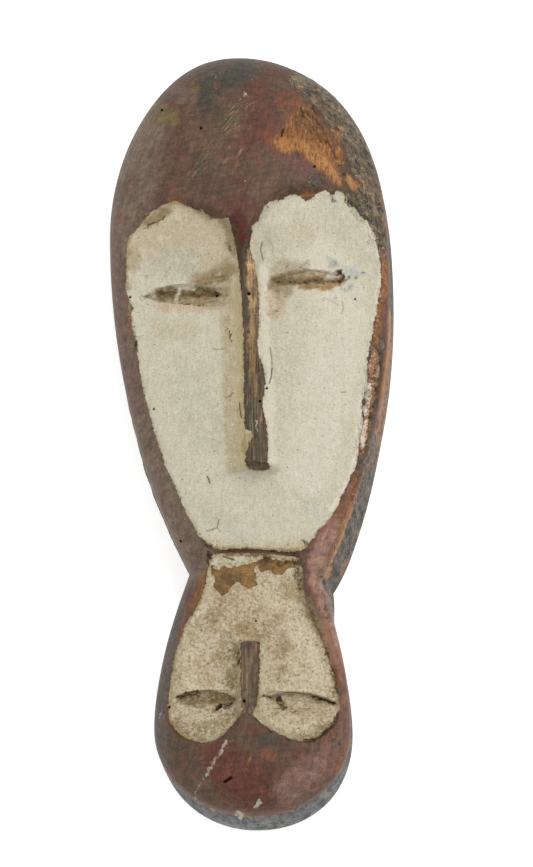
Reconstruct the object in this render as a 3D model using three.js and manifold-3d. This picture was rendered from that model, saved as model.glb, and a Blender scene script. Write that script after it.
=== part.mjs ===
// A miniature mask carved from one block of wood, with two faces chin to chin.
// The tall face looks out above, and a small one hangs upside down below it.
// The mask lies on its back: X runs across it, Y from the small head's crown up to
// the tall head's crown, and Z upwards from the flat back rim at 0. Millimetres.
import * as THREE from "three";
import { mergeVertices } from "three/addons/utils/BufferGeometryUtils.js";
import Module from "manifold-3d";

// The outline of the front edge: each head is widest at one height and ends in a crown
const TALL = {
  crownY: 115.8,
  widestY: 55,
  halfWidth: 41.4,
  crownPower: 2.08,
  taperPower: 2.25,
};
const NECK = { leftY: -44, rightY: -47.5, halfWidth: 18.8 };
const SMALL = {
  crownY: -113,
  widestY: -88,
  halfWidth: 27.7,
  crownPower: 2.08,
  taperPower: 1.75,
};

// The outline's middle line wanders as it runs down, as [y, x]
const CENTRE = [
  [115, -3],
  [100, -1.2],
  [60, -0.7],
  [10, 0.8],
  [-25, 0.8],
  [-46, 0.9],
  [-65, 0.2],
  [-90, -0.3],
  [-113, 0.5],
];

// How far the back rim stands outside the front edge on each side, as [y, mm]
const FLARE = {
  left: [
    [115, 0],
    [-90, 0.2],
    [-113, 0.6],
  ],
  right: [
    [115, 0],
    [60, 1.4],
    [0, 1.6],
    [-28, 3.2],
    [-46, 3.4],
    [-60, -0.2],
    [-80, 0.3],
    [-95, 0.4],
    [-113, 0.6],
  ],
  smallEnd: 2.6,
};
const WALL = { rings: 2, swell: 0.4 };

// Heights over the rim, as [y, z]: the crest runs down the middle, the shoulders are
// the front edges, and the dome rolls from one down to the other
const CREST = [
  [75, 34.5],
  [50, 32.4],
  [20, 29.6],
  [-20, 28.6],
  [-44, 27.5],
  [-65, 26.8],
  [-92, 28.2],
];
const SHOULDER = {
  left: [
    [115, 14.5],
    [55, 17],
    [-30, 17],
    [-75, 18],
    [-115, 18.5],
  ],
  right: [
    [115, 14.5],
    [55, 22],
    [-10, 22],
    [-46, 20.7],
    [-75, 19],
    [-115, 18.5],
  ],
};
const ROLL = { power: 2.2, left: 0.46, right: 0.56, blend: 0.35 };

// The two sunken faces: border points going round, the floor's height along Y, and
// how far the floor falls away from the middle to the cheeks
const TALL_FACE = {
  border: [
    [0.9, -44.3],
    [12.4, -44.3],
    [16.9, -38.7],
    [22.9, -29.3],
    [28.7, -18.3],
    [31.8, -6.3],
    [34.4, 9.7],
    [35.9, 26.7],
    [38.4, 39.7],
    [38.4, 47.7],
    [35.8, 56.7],
    [29.9, 63.7],
    [23.4, 67.1],
    [10.4, 65.9],
    [4.6, 60.7],
    [1.2, 55.7],
    [-1.4, 52.2],
    [-4.6, 57.2],
    [-14.3, 62.2],
    [-21.6, 64.7],
    [-29.4, 60.7],
    [-35.2, 53.7],
    [-36.6, 41.7],
    [-34.9, 31.7],
    [-31.4, 3.7],
    [-27.6, -7.8],
    [-20.1, -27.3],
    [-13, -38.8],
    [-11.1, -44.3],
  ],
  floor: [
    [-40, 25.6],
    [-10, 26.6],
    [25, 26.4],
    [42, 26.2],
    [56, 28.4],
    [68, 31],
  ],
  fallLeft: 2.6,
  fallRight: 1.2,
  halfWidth: 37,
  edge: 4,
};
const SMALL_FACE = {
  border: [
    [0.9, -34.3],
    [12.9, -34.3],
    [13.6, -48.3],
    [17, -58.3],
    [22.8, -69.3],
    [24.2, -80.3],
    [23.4, -87.8],
    [19.9, -91.6],
    [15.4, -93.7],
    [8.8, -91.7],
    [4.9, -89.3],
    [1.2, -86.3],
    [-2.6, -85.9],
    [-4.6, -88.9],
    [-8.5, -91.9],
    [-14.4, -93.3],
    [-21.1, -91],
    [-23.8, -85.8],
    [-23, -78.3],
    [-21.2, -66.3],
    [-17.2, -54.3],
    [-13, -43.3],
    [-11.6, -34.3],
  ],
  floor: [
    [-94, 25],
    [-91, 23],
    [-86, 21.9],
    [-78, 21.6],
    [-62, 22.6],
    [-39, 24.4],
  ],
  fallLeft: 0.8,
  fallRight: 0.6,
  halfWidth: 25,
  edge: 3,
};
const CHIN = { y: -38.9, sag: 1.1, halfWidth: 13.5, edge: 0.7 };

// Noses: a flat ridge with sloping sides, from its root on the brow to its tip
const TALL_NOSE = {
  tipY: -15.8,
  rootY: 54.7,
  tipX: 2.5,
  rootX: -0.1,
  tipHalf: 3.1,
  rootHalf: 1.5,
  ridge: [
    [-15.8, 32.4],
    [19.7, 31.6],
    [44.7, 31.4],
    [54.7, 32.6],
  ],
  leftSlope: 1.7,
  rightSlope: 2.6,
  endSlope: 4,
  flare: 0.9,
  flareLength: 4,
};
const SMALL_NOSE = {
  tipY: -65.4,
  rootY: -88.3,
  tipX: -0.3,
  rootX: -1.3,
  tipHalf: 2.4,
  rootHalf: 1.5,
  ridge: [
    [-88.3, 27],
    [-75.3, 26.2],
    [-65.4, 26.6],
  ],
  leftSlope: 1.9,
  rightSlope: 1.6,
  endSlope: 3.4,
  flare: 0.2,
  flareLength: 4,
};

// Eyes: almond recesses from corner to corner, with the lids' rise above and below
const EYES = [
  { from: [-31.9, 37.1], to: [-7, 36.5], above: 3.6, below: 2.6, depth: 1.3 },
  { from: [5.6, 41], to: [27.5, 42], above: 2.4, below: 4, depth: 1.3 },
  { from: [-22, -80.1], to: [-3, -81.1], above: 2.4, below: 3.4, depth: 1.8 },
  { from: [3, -80.5], to: [24, -82.3], above: 2.4, below: 3.2, depth: 1.8 },
];
const LID_EDGE = 1.4;

// The hollow back: its rim's width, and the height of its vaulted roof as [y, z]
const RIM = 6.5;
const HOLLOW = {
  roof: [
    [-100, 12],
    [-78, 12.5],
    [-50, 13.5],
    [-30, 15.5],
    [10, 16.8],
    [50, 17],
    [80, 21],
    [100, 20],
  ],
  wallShare: 0.55,
  power: 2.6,
  vault: 0.4,
  below: 2,
};

// The share of a face's edge that lies outside its border, and the border's smoothness
const EDGE_OUTSIDE = 1 / 3;
const BORDER_STEPS = 6;

// How the grid's columns bow to follow the noses: how far past the roots they straighten
// again, and where they run straight through the chin
const BOW = { fade: 40, chinFrom: 4, chinTo: 16 };

// How finely the front and the hollow are divided: the columns pinch towards the
// noses, and the rows step down from stop to stop between the two caps
const FRONT_GRID = {
  columns: 42,
  pinch: 0.42,
  tallCap: 17,
  smallCap: 12,
  stops: [
    [47, 2.7],
    [33, 1.8],
    [-10, 4.3],
    [-19, 1.3],
    [-36, 3.4],
    [-41, 1.2],
    [NECK.leftY, 3],
    [NECK.rightY, 3.5],
    [-61, 3.4],
    [-69, 1.4],
    [-76, 2.4],
    [SMALL.widestY, 1.6],
  ],
};
const HOLLOW_GRID = {
  columns: 14,
  pinch: 0,
  tallCap: 6,
  smallCap: 4,
  stops: [
    [NECK.leftY, 10],
    [NECK.rightY, 4],
    [SMALL.widestY, 10],
  ],
};

const clamp01 = (t) => Math.min(1, Math.max(0, t));
const mix = (a, b, t) => a + (b - a) * t;
const smooth = (low, high, value) => {
  const t = clamp01((value - low) / (high - low));
  return t * t * (3 - 2 * t);
};
const fall = (t, power, root) => (1 - clamp01(t) ** power) ** root;

// The value at `at` on a smooth line through [position, value] points
function along(points, at) {
  const sorted = [...points].sort((a, b) => a[0] - b[0]);
  const last = sorted.length - 1;
  if (at <= sorted[0][0]) return sorted[0][1];
  if (at >= sorted[last][0]) return sorted[last][1];
  const i = sorted.findIndex((p) => p[0] > at) - 1;
  const slope = (k) => {
    const before = sorted[Math.max(k - 1, 0)];
    const after = sorted[Math.min(k + 1, last)];
    return (after[1] - before[1]) / (after[0] - before[0]);
  };
  const gap = sorted[i + 1][0] - sorted[i][0];
  const t = (at - sorted[i][0]) / gap;
  const start = sorted[i][1] * (1 + 2 * t) * (1 - t) ** 2 + slope(i) * gap * t * (1 - t) ** 2;
  const end = sorted[i + 1][1] * t * t * (3 - 2 * t) + slope(i + 1) * gap * t * t * (t - 1);
  return start + end;
}

// Three outlines at different levels, each given by its outset from the front edge's
const frontOutline = { outset: () => 0, tallEnd: 0, smallEnd: 0 };
const rimOutline = {
  outset: (side, y) => along(FLARE[side], y),
  tallEnd: 0,
  smallEnd: FLARE.smallEnd,
};
const hollowOutline = { outset: () => -RIM, tallEnd: -RIM, smallEnd: -RIM };

const centreAt = (y) => along(CENTRE, y);
const sideAt = (x, y) => (x < centreAt(y) ? "left" : "right");
const tallTop = (outline) => TALL.crownY + outline.tallEnd;
const smallTop = (outline) => SMALL.crownY - outline.smallEnd;

// How far up a crown's cap a height lies, from 0 at the head's widest to 1 at its end
function capRise(y, outline) {
  if (y > TALL.widestY) return (y - TALL.widestY) / (tallTop(outline) - TALL.widestY);
  if (y < SMALL.widestY) return (SMALL.widestY - y) / (SMALL.widestY - smallTop(outline));
  return 0;
}

function halfWidthAt(y, side, outline) {
  const outset = outline.outset(side, y);
  const neckY = side === "left" ? NECK.leftY : NECK.rightY;
  if (y >= TALL.widestY) {
    return (TALL.halfWidth + outset) * fall(capRise(y, outline), TALL.crownPower, 1 / TALL.crownPower);
  }
  if (y >= neckY) {
    const t = (TALL.widestY - y) / (TALL.widestY - neckY);
    return mix(TALL.halfWidth, NECK.halfWidth, t ** TALL.taperPower) + outset;
  }
  if (y >= SMALL.widestY) {
    const t = (y - SMALL.widestY) / (neckY - SMALL.widestY);
    return mix(SMALL.halfWidth, NECK.halfWidth, t ** SMALL.taperPower) + outset;
  }
  return (SMALL.halfWidth + outset) * fall(capRise(y, outline), SMALL.crownPower, 1 / SMALL.crownPower);
}

// How close a point is to an outline's edge: 0 on the middle line and 1 at the edge
function edgeShare(x, y, outline) {
  const side = sideAt(x, y);
  const off = Math.abs(x - centreAt(y));
  const rise = capRise(y, outline);
  if (rise === 0) return clamp01(off / halfWidthAt(y, side, outline));
  const head = y > 0 ? TALL : SMALL;
  const across = off / (head.halfWidth + outline.outset(side, y));
  return clamp01((across ** head.crownPower + rise ** head.crownPower) ** (1 / head.crownPower));
}

// The uncut dome: the left side's form passes into the right side's over the middle
function domeAt(x, y) {
  const share = edgeShare(x, y, frontOutline);
  const off = (x - centreAt(y)) / TALL.halfWidth;
  const right = smooth(-ROLL.blend, ROLL.blend, off);
  const shoulder = mix(along(SHOULDER.left, y), along(SHOULDER.right, y), right);
  const root = mix(ROLL.left, ROLL.right, right);
  return mix(shoulder, along(CREST, y), fall(share, ROLL.power, root));
}

// A face's border as a closed line, and the distance inside it
function closedLine(points) {
  const corners = points.map(([x, y]) => new THREE.Vector3(x, y, 0));
  return new THREE.CatmullRomCurve3(corners, true, "centripetal").getPoints(BORDER_STEPS * points.length);
}

function insideDistance(line, x, y) {
  let nearest = Infinity;
  let inside = false;
  for (let i = 0; i + 1 < line.length; i++) {
    const a = line[i];
    const b = line[i + 1];
    const runX = b.x - a.x;
    const runY = b.y - a.y;
    const t = clamp01(((x - a.x) * runX + (y - a.y) * runY) / (runX * runX + runY * runY));
    nearest = Math.min(nearest, Math.hypot(x - a.x - runX * t, y - a.y - runY * t));
    const crosses = a.y > y !== b.y > y;
    if (crosses && x < a.x + ((y - a.y) / runY) * runX) inside = !inside;
  }
  return inside ? nearest : -nearest;
}

const tallBorder = closedLine(TALL_FACE.border);
const smallBorder = closedLine(SMALL_FACE.border);

function sinkFace(z, face, border, x, y) {
  const off = x - centreAt(y);
  const drop = off < 0 ? face.fallLeft : face.fallRight;
  const floor = along(face.floor, y) - drop * (off / face.halfWidth) ** 2;
  const depth = insideDistance(border, x, y);
  const outer = -face.edge * EDGE_OUTSIDE;
  return mix(z, Math.min(z, floor), smooth(outer, outer + face.edge, depth));
}

// A nose's middle line, and the nose raised on the face
const noseX = (nose, y) => {
  const share = clamp01((y - nose.tipY) / (nose.rootY - nose.tipY));
  return mix(nose.tipX, nose.rootX, share);
};

function raiseNose(z, nose, x, y) {
  const share = clamp01((y - nose.tipY) / (nose.rootY - nose.tipY));
  const direction = Math.sign(nose.rootY - nose.tipY);
  const fromTip = Math.max(0, (y - nose.tipY) * direction);
  const flare = nose.flare * (1 - smooth(0, nose.flareLength, fromTip));
  const half = mix(nose.tipHalf, nose.rootHalf, share) + flare;
  const off = x - noseX(nose, y);
  const slope = off < 0 ? nose.leftSlope : nose.rightSlope;
  const pastTip = Math.max(0, (nose.tipY - y) * direction);
  const pastRoot = Math.max(0, (y - nose.rootY) * direction);
  const side = slope * Math.max(0, Math.abs(off) - half);
  return Math.max(z, along(nose.ridge, y) - side - nose.endSlope * (pastTip + pastRoot));
}

function cutEye(z, eye, x, y) {
  const [x0, y0] = eye.from;
  const [x1, y1] = eye.to;
  const length = Math.hypot(x1 - x0, y1 - y0);
  const dx = (x1 - x0) / length;
  const dy = (y1 - y0) / length;
  const run = (x - (x0 + x1) / 2) * dx + (y - (y0 + y1) / 2) * dy;
  const rise = (y - (y0 + y1) / 2) * dx - (x - (x0 + x1) / 2) * dy;
  const opening = 1 - Math.min(1, Math.abs(run) / (length / 2)) ** 2;
  const lid = Math.min(eye.above * opening - rise, rise + eye.below * opening);
  return z - eye.depth * smooth(0, LID_EDGE, lid);
}

function frontHeight(x, y) {
  const dome = domeAt(x, y);
  const chinY = CHIN.y - CHIN.sag * (x / CHIN.halfWidth) ** 2;
  const above = smooth(-CHIN.edge, CHIN.edge, y - chinY);
  const small = above < 1 ? sinkFace(dome, SMALL_FACE, smallBorder, x, y) : 0;
  const tall = above > 0 ? sinkFace(dome, TALL_FACE, tallBorder, x, y) : 0;
  let z = mix(small, tall, above);
  z = raiseNose(z, TALL_NOSE, x, y);
  z = raiseNose(z, SMALL_NOSE, x, y);
  return EYES.reduce((height, eye) => cutEye(height, eye, x, y), z);
}

function hollowHeight(x, y) {
  const vault = fall(edgeShare(x, y, hollowOutline), HOLLOW.power, HOLLOW.vault);
  return along(HOLLOW.roof, y) * mix(HOLLOW.wallShare, 1, vault);
}

// Between the caps the rows are straight, from one stop to the next in even steps
function middleRows(stops) {
  const rows = [TALL.widestY];
  for (const [stop, step] of stops) {
    const from = rows[rows.length - 1];
    const count = Math.ceil((from - stop) / step);
    for (let i = 1; i <= count; i++) rows.push(mix(from, stop, i / count));
  }
  return rows;
}

// In a cap the square grid is pulled round into half a disc, as [y, share across]
function capPoint(across, up, head, end) {
  const discX = across * Math.sqrt(1 - (up * up) / 2);
  const discY = up * Math.sqrt(1 - (across * across) / 2);
  const rise = 1 - (1 - Math.min(discY, 1)) ** (head.crownPower / 2);
  const chord = Math.sqrt(Math.max(1 - discY * discY, Number.EPSILON));
  return [mix(head.widestY, end, rise), Math.max(-1, Math.min(1, discX / chord))];
}

// The columns bow sideways so that the middle one runs along both noses
function columnX(y, share, outline) {
  const side = share < 0 ? "left" : "right";
  const nose = y > CHIN.y ? TALL_NOSE : SMALL_NOSE;
  const near = 1 - smooth(0, BOW.fade, Math.max(y - TALL_NOSE.rootY, SMALL_NOSE.rootY - y));
  const chin = smooth(BOW.chinFrom, BOW.chinTo, Math.abs(y - CHIN.y));
  const bow = (noseX(nose, y) - centreAt(y)) * (1 - share * share) * near * chin;
  return centreAt(y) + halfWidthAt(y, side, outline) * share + bow;
}

// The grid's plan points, row by row from the tall crown to the small one
function planGrid(grid, outline) {
  const columns = Array.from({ length: grid.columns + 1 }, (_, i) => {
    const t = (2 * i) / grid.columns - 1;
    return t - (grid.pinch * Math.sin(2 * Math.PI * t)) / (2 * Math.PI);
  });
  const rows = [];
  for (let i = grid.tallCap; i > 0; i--) {
    rows.push(columns.map((u) => capPoint(u, i / grid.tallCap, TALL, tallTop(outline))));
  }
  for (const y of middleRows(grid.stops)) rows.push(columns.map((u) => [y, u]));
  for (let i = 1; i <= grid.smallCap; i++) {
    rows.push(columns.map((u) => capPoint(u, i / grid.smallCap, SMALL, smallTop(outline))));
  }
  return rows.map((row) => row.map(([y, share]) => [columnX(y, share, outline), y]));
}

// The grid's edge as a loop, anticlockwise seen from above, given by row and column
function edgeLoop(rows, columns) {
  const loop = [];
  for (let r = 0; r < rows - 1; r++) loop.push([r, 0]);
  for (let c = 0; c < columns - 1; c++) loop.push([rows - 1, c]);
  for (let r = rows - 1; r > 0; r--) loop.push([r, columns - 1]);
  for (let c = columns - 1; c > 0; c--) loop.push([0, c]);
  return loop;
}

// A closed solid: a grid of heights on top, a wall from its edge to the foot's edge
// in level rings that swell a little, and a flat bottom
function solidUnder(plan, heightAt, foot, bottom, wall) {
  const width = plan[0].length;
  const position = [];
  const index = [];
  for (const row of plan) {
    for (const [x, y] of row) position.push(x, y, heightAt(x, y));
  }
  const heightOf = (i) => position[3 * i + 2];
  for (let r = 0; r + 1 < plan.length; r++) {
    for (let c = 0; c + 1 < width; c++) {
      const a = r * width + c;
      const [b, d, e] = [a + 1, a + width, a + width + 1];
      const alongA = Math.abs(heightOf(a) - heightOf(e)) < Math.abs(heightOf(b) - heightOf(d));
      if (alongA) index.push(a, d, e, a, e, b);
      else index.push(a, d, b, b, d, e);
    }
  }
  const loop = edgeLoop(plan.length, width);
  const footPoint = (i) => new THREE.Vector2(...foot[loop[i][0]][loop[i][1]]);
  let upper = loop.map(([r, c]) => r * width + c);
  const edge = upper.map((v) => new THREE.Vector3().fromArray(position, 3 * v));
  for (let ring = 1; ring <= wall.rings; ring++) {
    const share = ring / wall.rings;
    const lower = loop.map((_, i) => {
      const before = edge[(i + loop.length - 1) % loop.length];
      const after = edge[(i + 1) % loop.length];
      const out = new THREE.Vector2(after.y - before.y, before.x - after.x).normalize();
      const p = new THREE.Vector2(edge[i].x, edge[i].y).lerp(footPoint(i), share);
      p.addScaledVector(out, wall.swell * Math.sin(Math.PI * share));
      position.push(p.x, p.y, mix(edge[i].z, bottom, share));
      return position.length / 3 - 1;
    });
    for (let i = 0; i < loop.length; i++) {
      const j = (i + 1) % loop.length;
      index.push(upper[i], lower[i], lower[j], upper[i], lower[j], upper[j]);
    }
    upper = lower;
  }
  const base = upper.map((v) => new THREE.Vector2(position[3 * v], position[3 * v + 1]));
  for (const [a, b, c] of THREE.ShapeUtils.triangulateShape(base, [])) {
    index.push(upper[c], upper[b], upper[a]);
  }
  const geometry = new THREE.BufferGeometry();
  geometry.setAttribute("position", new THREE.Float32BufferAttribute(position, 3));
  geometry.setIndex(index);
  return geometry;
}

// Cutting with manifold-3d, once points closer than this are one
const MERGE = 1e-4;
const wasm = await Module();
wasm.setup();

function toSolid(geometry) {
  const merged = mergeVertices(geometry, MERGE);
  const mesh = new wasm.Mesh({
    numProp: 3,
    vertProperties: merged.attributes.position.array,
    triVerts: new Uint32Array(merged.index.array),
  });
  return new wasm.Manifold(mesh);
}

function toGeometry(solid) {
  const mesh = solid.getMesh();
  const geometry = new THREE.BufferGeometry();
  geometry.setAttribute("position", new THREE.BufferAttribute(mesh.vertProperties, 3));
  geometry.setIndex(new THREE.BufferAttribute(mesh.triVerts, 1));
  geometry.computeVertexNormals();
  return geometry;
}

// The block with its two faces, and the trough cut into its back
const frontPlan = planGrid(FRONT_GRID, frontOutline);
const rimPlan = planGrid(FRONT_GRID, rimOutline);
const block = solidUnder(frontPlan, frontHeight, rimPlan, 0, WALL);
const hollowPlan = planGrid(HOLLOW_GRID, hollowOutline);
const straight = { rings: 1, swell: 0 };
const trough = solidUnder(hollowPlan, hollowHeight, hollowPlan, -HOLLOW.below, straight);
const carved = toSolid(block).subtract(toSolid(trough));

const paintedWood = new THREE.MeshStandardMaterial({
  color: 0x6b4a42,
  roughness: 0.6,
  metalness: 0,
});
const mask = new THREE.Mesh(toGeometry(carved), paintedWood);
mask.name = "mask";

const miniatureMask = new THREE.Group();
miniatureMask.add(mask);

export default miniatureMask;
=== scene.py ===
import math
import bmesh
import bpy
import numpy as np
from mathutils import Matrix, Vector, kdtree, noise


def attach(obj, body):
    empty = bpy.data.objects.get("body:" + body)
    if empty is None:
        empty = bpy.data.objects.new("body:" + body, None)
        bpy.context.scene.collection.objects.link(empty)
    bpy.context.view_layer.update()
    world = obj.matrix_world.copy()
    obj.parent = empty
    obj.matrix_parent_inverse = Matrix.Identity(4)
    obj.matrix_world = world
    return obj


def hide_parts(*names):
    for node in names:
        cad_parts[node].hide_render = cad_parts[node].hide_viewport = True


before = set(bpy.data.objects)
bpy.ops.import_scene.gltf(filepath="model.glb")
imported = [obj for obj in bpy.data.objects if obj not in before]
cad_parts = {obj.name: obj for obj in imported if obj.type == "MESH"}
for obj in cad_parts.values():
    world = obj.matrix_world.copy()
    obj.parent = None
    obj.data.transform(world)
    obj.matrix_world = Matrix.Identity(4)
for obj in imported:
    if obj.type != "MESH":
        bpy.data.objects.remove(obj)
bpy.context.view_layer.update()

mm = 0.001
print("frame loaded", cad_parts.keys())


# The camera, in millimetres and degrees. The picture is taken as 533 x 867 pixels
shot = {
    "width": 533, "height": 867, "focal": 2200,
    "pitch": 14.5, "yaw": 2.5, "roll": -0.5,
    "target": (4.3, -2.4, 15.0), "distance": 642.0,
    "sensor": 36.0,
}


def cameraAxes():
    pitch, yaw, roll = (math.radians(shot[k]) for k in ("pitch", "yaw", "roll"))
    toward = Vector((math.sin(yaw) * math.cos(pitch), -math.sin(pitch), math.cos(yaw) * math.cos(pitch)))
    level = Vector((0, 1, 0)).cross(toward).normalized()
    upright = toward.cross(level)
    right = level * math.cos(roll) + upright * math.sin(roll)
    up = upright * math.cos(roll) - level * math.sin(roll)
    eye = Vector(shot["target"]) + toward * shot["distance"]
    return eye, right, up, toward


def toPhoto(points):  # millimetres to the picture's pixels
    eye, right, up, toward = (np.array(v) for v in cameraAxes())
    offset = points - eye
    depth = -(offset @ toward)
    px = shot["width"] / 2 + shot["focal"] * (offset @ right) / depth
    py = shot["height"] / 2 - shot["focal"] * (offset @ up) / depth
    return px, py


# The carving's sizes in millimetres, as in the solid: both heads' outline, the dome,
# the two sunken faces, noses and eyes, and the hollow
carving = {
    "tall": {"crownY": 115.8, "widestY": 55, "halfWidth": 41.4, "crownPower": 2.08, "taperPower": 2.25},
    "neck": {"leftY": -44, "rightY": -47.5, "halfWidth": 18.8},
    "small": {"crownY": -113, "widestY": -88, "halfWidth": 27.7, "crownPower": 2.08, "taperPower": 1.75},
    "centre": [(115, -3), (100, -1.2), (60, -0.7), (10, 0.8), (-25, 0.8), (-46, 0.9), (-65, 0.2),
               (-90, -0.3), (-113, 0.5)],
    "flareLeft": [(115, 0), (-90, 0.2), (-113, 0.6)],
    "flareRight": [(115, 0), (60, 1.4), (0, 1.6), (-28, 3.2), (-46, 3.4), (-60, -0.2), (-80, 0.3),
                   (-95, 0.4), (-113, 0.6)],
    "flareEnd": 2.6,
    "crest": [(75, 34.5), (50, 32.4), (20, 29.6), (-20, 28.6), (-44, 27.5), (-65, 26.8), (-92, 28.2)],
    "shoulderLeft": [(115, 14.5), (55, 17), (-30, 17), (-75, 18), (-115, 18.5)],
    "shoulderRight": [(115, 14.5), (55, 22), (-10, 22), (-46, 20.7), (-75, 19), (-115, 18.5)],
    "roll": {"power": 2.2, "left": 0.46, "right": 0.56, "blend": 0.35},
    "wallSwell": 0.4,
}

tallFace = {
    "border": [(0.9, -44.3), (12.4, -44.3), (16.9, -38.7), (22.9, -29.3), (28.7, -18.3), (31.8, -6.3),
               (34.4, 9.7), (35.9, 26.7), (38.4, 39.7), (38.4, 47.7), (35.8, 56.7), (29.9, 63.7),
               (23.4, 67.1), (10.4, 65.9), (4.6, 60.7), (1.2, 55.7), (-1.4, 52.2), (-4.6, 57.2),
               (-14.3, 62.2), (-21.6, 64.7), (-29.4, 60.7), (-35.2, 53.7), (-36.6, 41.7),
               (-34.9, 31.7), (-31.4, 3.7), (-27.6, -7.8), (-20.1, -27.3), (-13, -38.8), (-11.1, -44.3)],
    "floor": [(-40, 25.6), (-10, 26.6), (25, 26.4), (42, 26.2), (56, 28.4), (68, 31)],
    "fallLeft": 2.6, "fallRight": 1.2, "halfWidth": 37,
    "edge": 3.0, "outside": 0.33,
}

smallFace = {
    "border": [(0.9, -34.3), (12.9, -34.3), (13.6, -48.3), (17, -58.3), (22.8, -69.3), (24.2, -80.3),
               (23.4, -87.8), (19.9, -91.6), (15.4, -93.7), (8.8, -91.7), (4.9, -89.3), (1.2, -86.3),
               (-2.6, -85.9), (-4.6, -88.9), (-8.5, -91.9), (-14.4, -93.3), (-21.1, -91),
               (-23.8, -85.8), (-23, -78.3), (-21.2, -66.3), (-17.2, -54.3), (-13, -43.3), (-11.6, -34.3)],
    "floor": [(-94, 25), (-91, 23), (-86, 21.9), (-78, 21.6), (-62, 22.6), (-39, 24.4)],
    "fallLeft": 0.8, "fallRight": 0.6, "halfWidth": 25,
    "edge": 2.0, "outside": 0.33,
}

chin = {"y": -38.9, "sag": 1.1, "halfWidth": 13.5, "edge": 0.45}

noses = {
    "tall": {"tipY": -15.8, "rootY": 54.7, "tipX": 2.5, "rootX": -0.1, "tipHalf": 3.1, "rootHalf": 1.5,
             "ridge": [(-15.8, 32.4), (19.7, 31.6), (44.7, 31.4), (54.7, 32.6)],
             "leftSlope": 1.7, "rightSlope": 2.6, "endSlope": 4,
             "flare": 0.9, "flareLength": 4, "fillet": 3.2},
    "small": {"tipY": -65.4, "rootY": -88.3, "tipX": -0.3, "rootX": -1.3, "tipHalf": 2.4, "rootHalf": 1.5,
              "ridge": [(-88.3, 27), (-75.3, 26.2), (-65.4, 26.6)],
              "leftSlope": 1.9, "rightSlope": 1.6, "endSlope": 3.4,
              "flare": 0.2, "flareLength": 4, "fillet": 1.8},
}

eyes = {
    "tallLeft": {"from": (-31.9, 37.1), "to": (-7, 36.5),
                 "above": 3.6, "below": 2.6, "depth": 1.3, "lip": 0.1},
    "tallRight": {"from": (5.6, 41), "to": (27.5, 42),
                  "above": 2.4, "below": 4, "depth": 1.2, "lip": 0.1},
    "smallLeft": {"from": (-22, -80.1), "to": (-3, -81.1),
                  "above": 2.4, "below": 3.4, "depth": 2.0, "lip": 0.35},
    "smallRight": {"from": (3, -80.5), "to": (24, -82.3),
                   "above": 2.4, "below": 3.2, "depth": 2.0, "lip": 0.35},
}

hollow = {
    "rim": 6.5,
    "roof": [(-100, 12), (-78, 12.5), (-50, 13.5), (-30, 15.5), (10, 16.8), (50, 17), (80, 21), (100, 20)],
    "wallShare": 0.55, "power": 2.6, "vault": 0.4,
    "columns": 48, "rows": 112, "band": 0.12, "inner": 0.965,
    "gouges": 520, "gougeWidth": 7.0, "gougeStretch": 2.2, "gougeDepth": 0.45,
    "gougeArea": (40, 115), "gougeFade": (0.02, 0.12), "seed": 11,
}


def mix(a, b, t):
    return a + (b - a) * t


def smooth(low, high, value):
    t = np.clip((value - low) / (high - low), 0, 1)
    return t * t * (3 - 2 * t)


def fall(t, power, root):
    return (1 - np.clip(t, 0, 1) ** power) ** root


def along(points, at):  # a smooth line through (position, value) points
    pos, val = np.array(sorted(points), float).T
    at = np.clip(at, pos[0], pos[-1])
    i = np.clip(np.searchsorted(pos, at, side="right") - 1, 0, len(pos) - 2)
    before = np.maximum(np.arange(len(pos)) - 1, 0)
    after = np.minimum(np.arange(len(pos)) + 1, len(pos) - 1)
    slope = (val[after] - val[before]) / (pos[after] - pos[before])
    gap = pos[i + 1] - pos[i]
    t = (at - pos[i]) / gap
    start = val[i] * (1 + 2 * t) * (1 - t) ** 2 + slope[i] * gap * t * (1 - t) ** 2
    end = val[i + 1] * t * t * (3 - 2 * t) + slope[i + 1] * gap * t * t * (t - 1)
    return start + end


# Three outlines: the front edge, the back rim that flares outside it, and the hollow
def frontOutset(right, y):
    return np.zeros_like(y)


def rimOutset(right, y):
    return np.where(right, along(carving["flareRight"], y), along(carving["flareLeft"], y))


def hollowOutset(right, y):
    return np.full_like(y, -hollow["rim"])


frontOutline = (frontOutset, 0.0, 0.0)
rimOutline = (rimOutset, 0.0, carving["flareEnd"])
hollowOutline = (hollowOutset, -hollow["rim"], -hollow["rim"])


def centreAt(y):
    return along(carving["centre"], y)


def capRise(y, outline):
    tall, small = carving["tall"], carving["small"]
    up = (y - tall["widestY"]) / (tall["crownY"] + outline[1] - tall["widestY"])
    down = (small["widestY"] - y) / (small["widestY"] - small["crownY"] + outline[2])
    return np.maximum(np.maximum(up, down), 0)


def halfWidthAt(y, right, outline):
    tall, small, neck = carving["tall"], carving["small"], carving["neck"]
    outset = outline[0](right, y)
    rise = capRise(y, outline)
    neckY = np.where(right, neck["rightY"], neck["leftY"])
    crown = (tall["halfWidth"] + outset) * fall(rise, tall["crownPower"], 1 / tall["crownPower"])
    t = np.clip((tall["widestY"] - y) / (tall["widestY"] - neckY), 0, 1)
    cheek = mix(tall["halfWidth"], neck["halfWidth"], t ** tall["taperPower"]) + outset
    t = np.clip((y - small["widestY"]) / (neckY - small["widestY"]), 0, 1)
    jaw = mix(small["halfWidth"], neck["halfWidth"], t ** small["taperPower"]) + outset
    foot = (small["halfWidth"] + outset) * fall(rise, small["crownPower"], 1 / small["crownPower"])
    return np.select([y >= tall["widestY"], y >= neckY, y >= small["widestY"]], [crown, cheek, jaw], foot)


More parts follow.
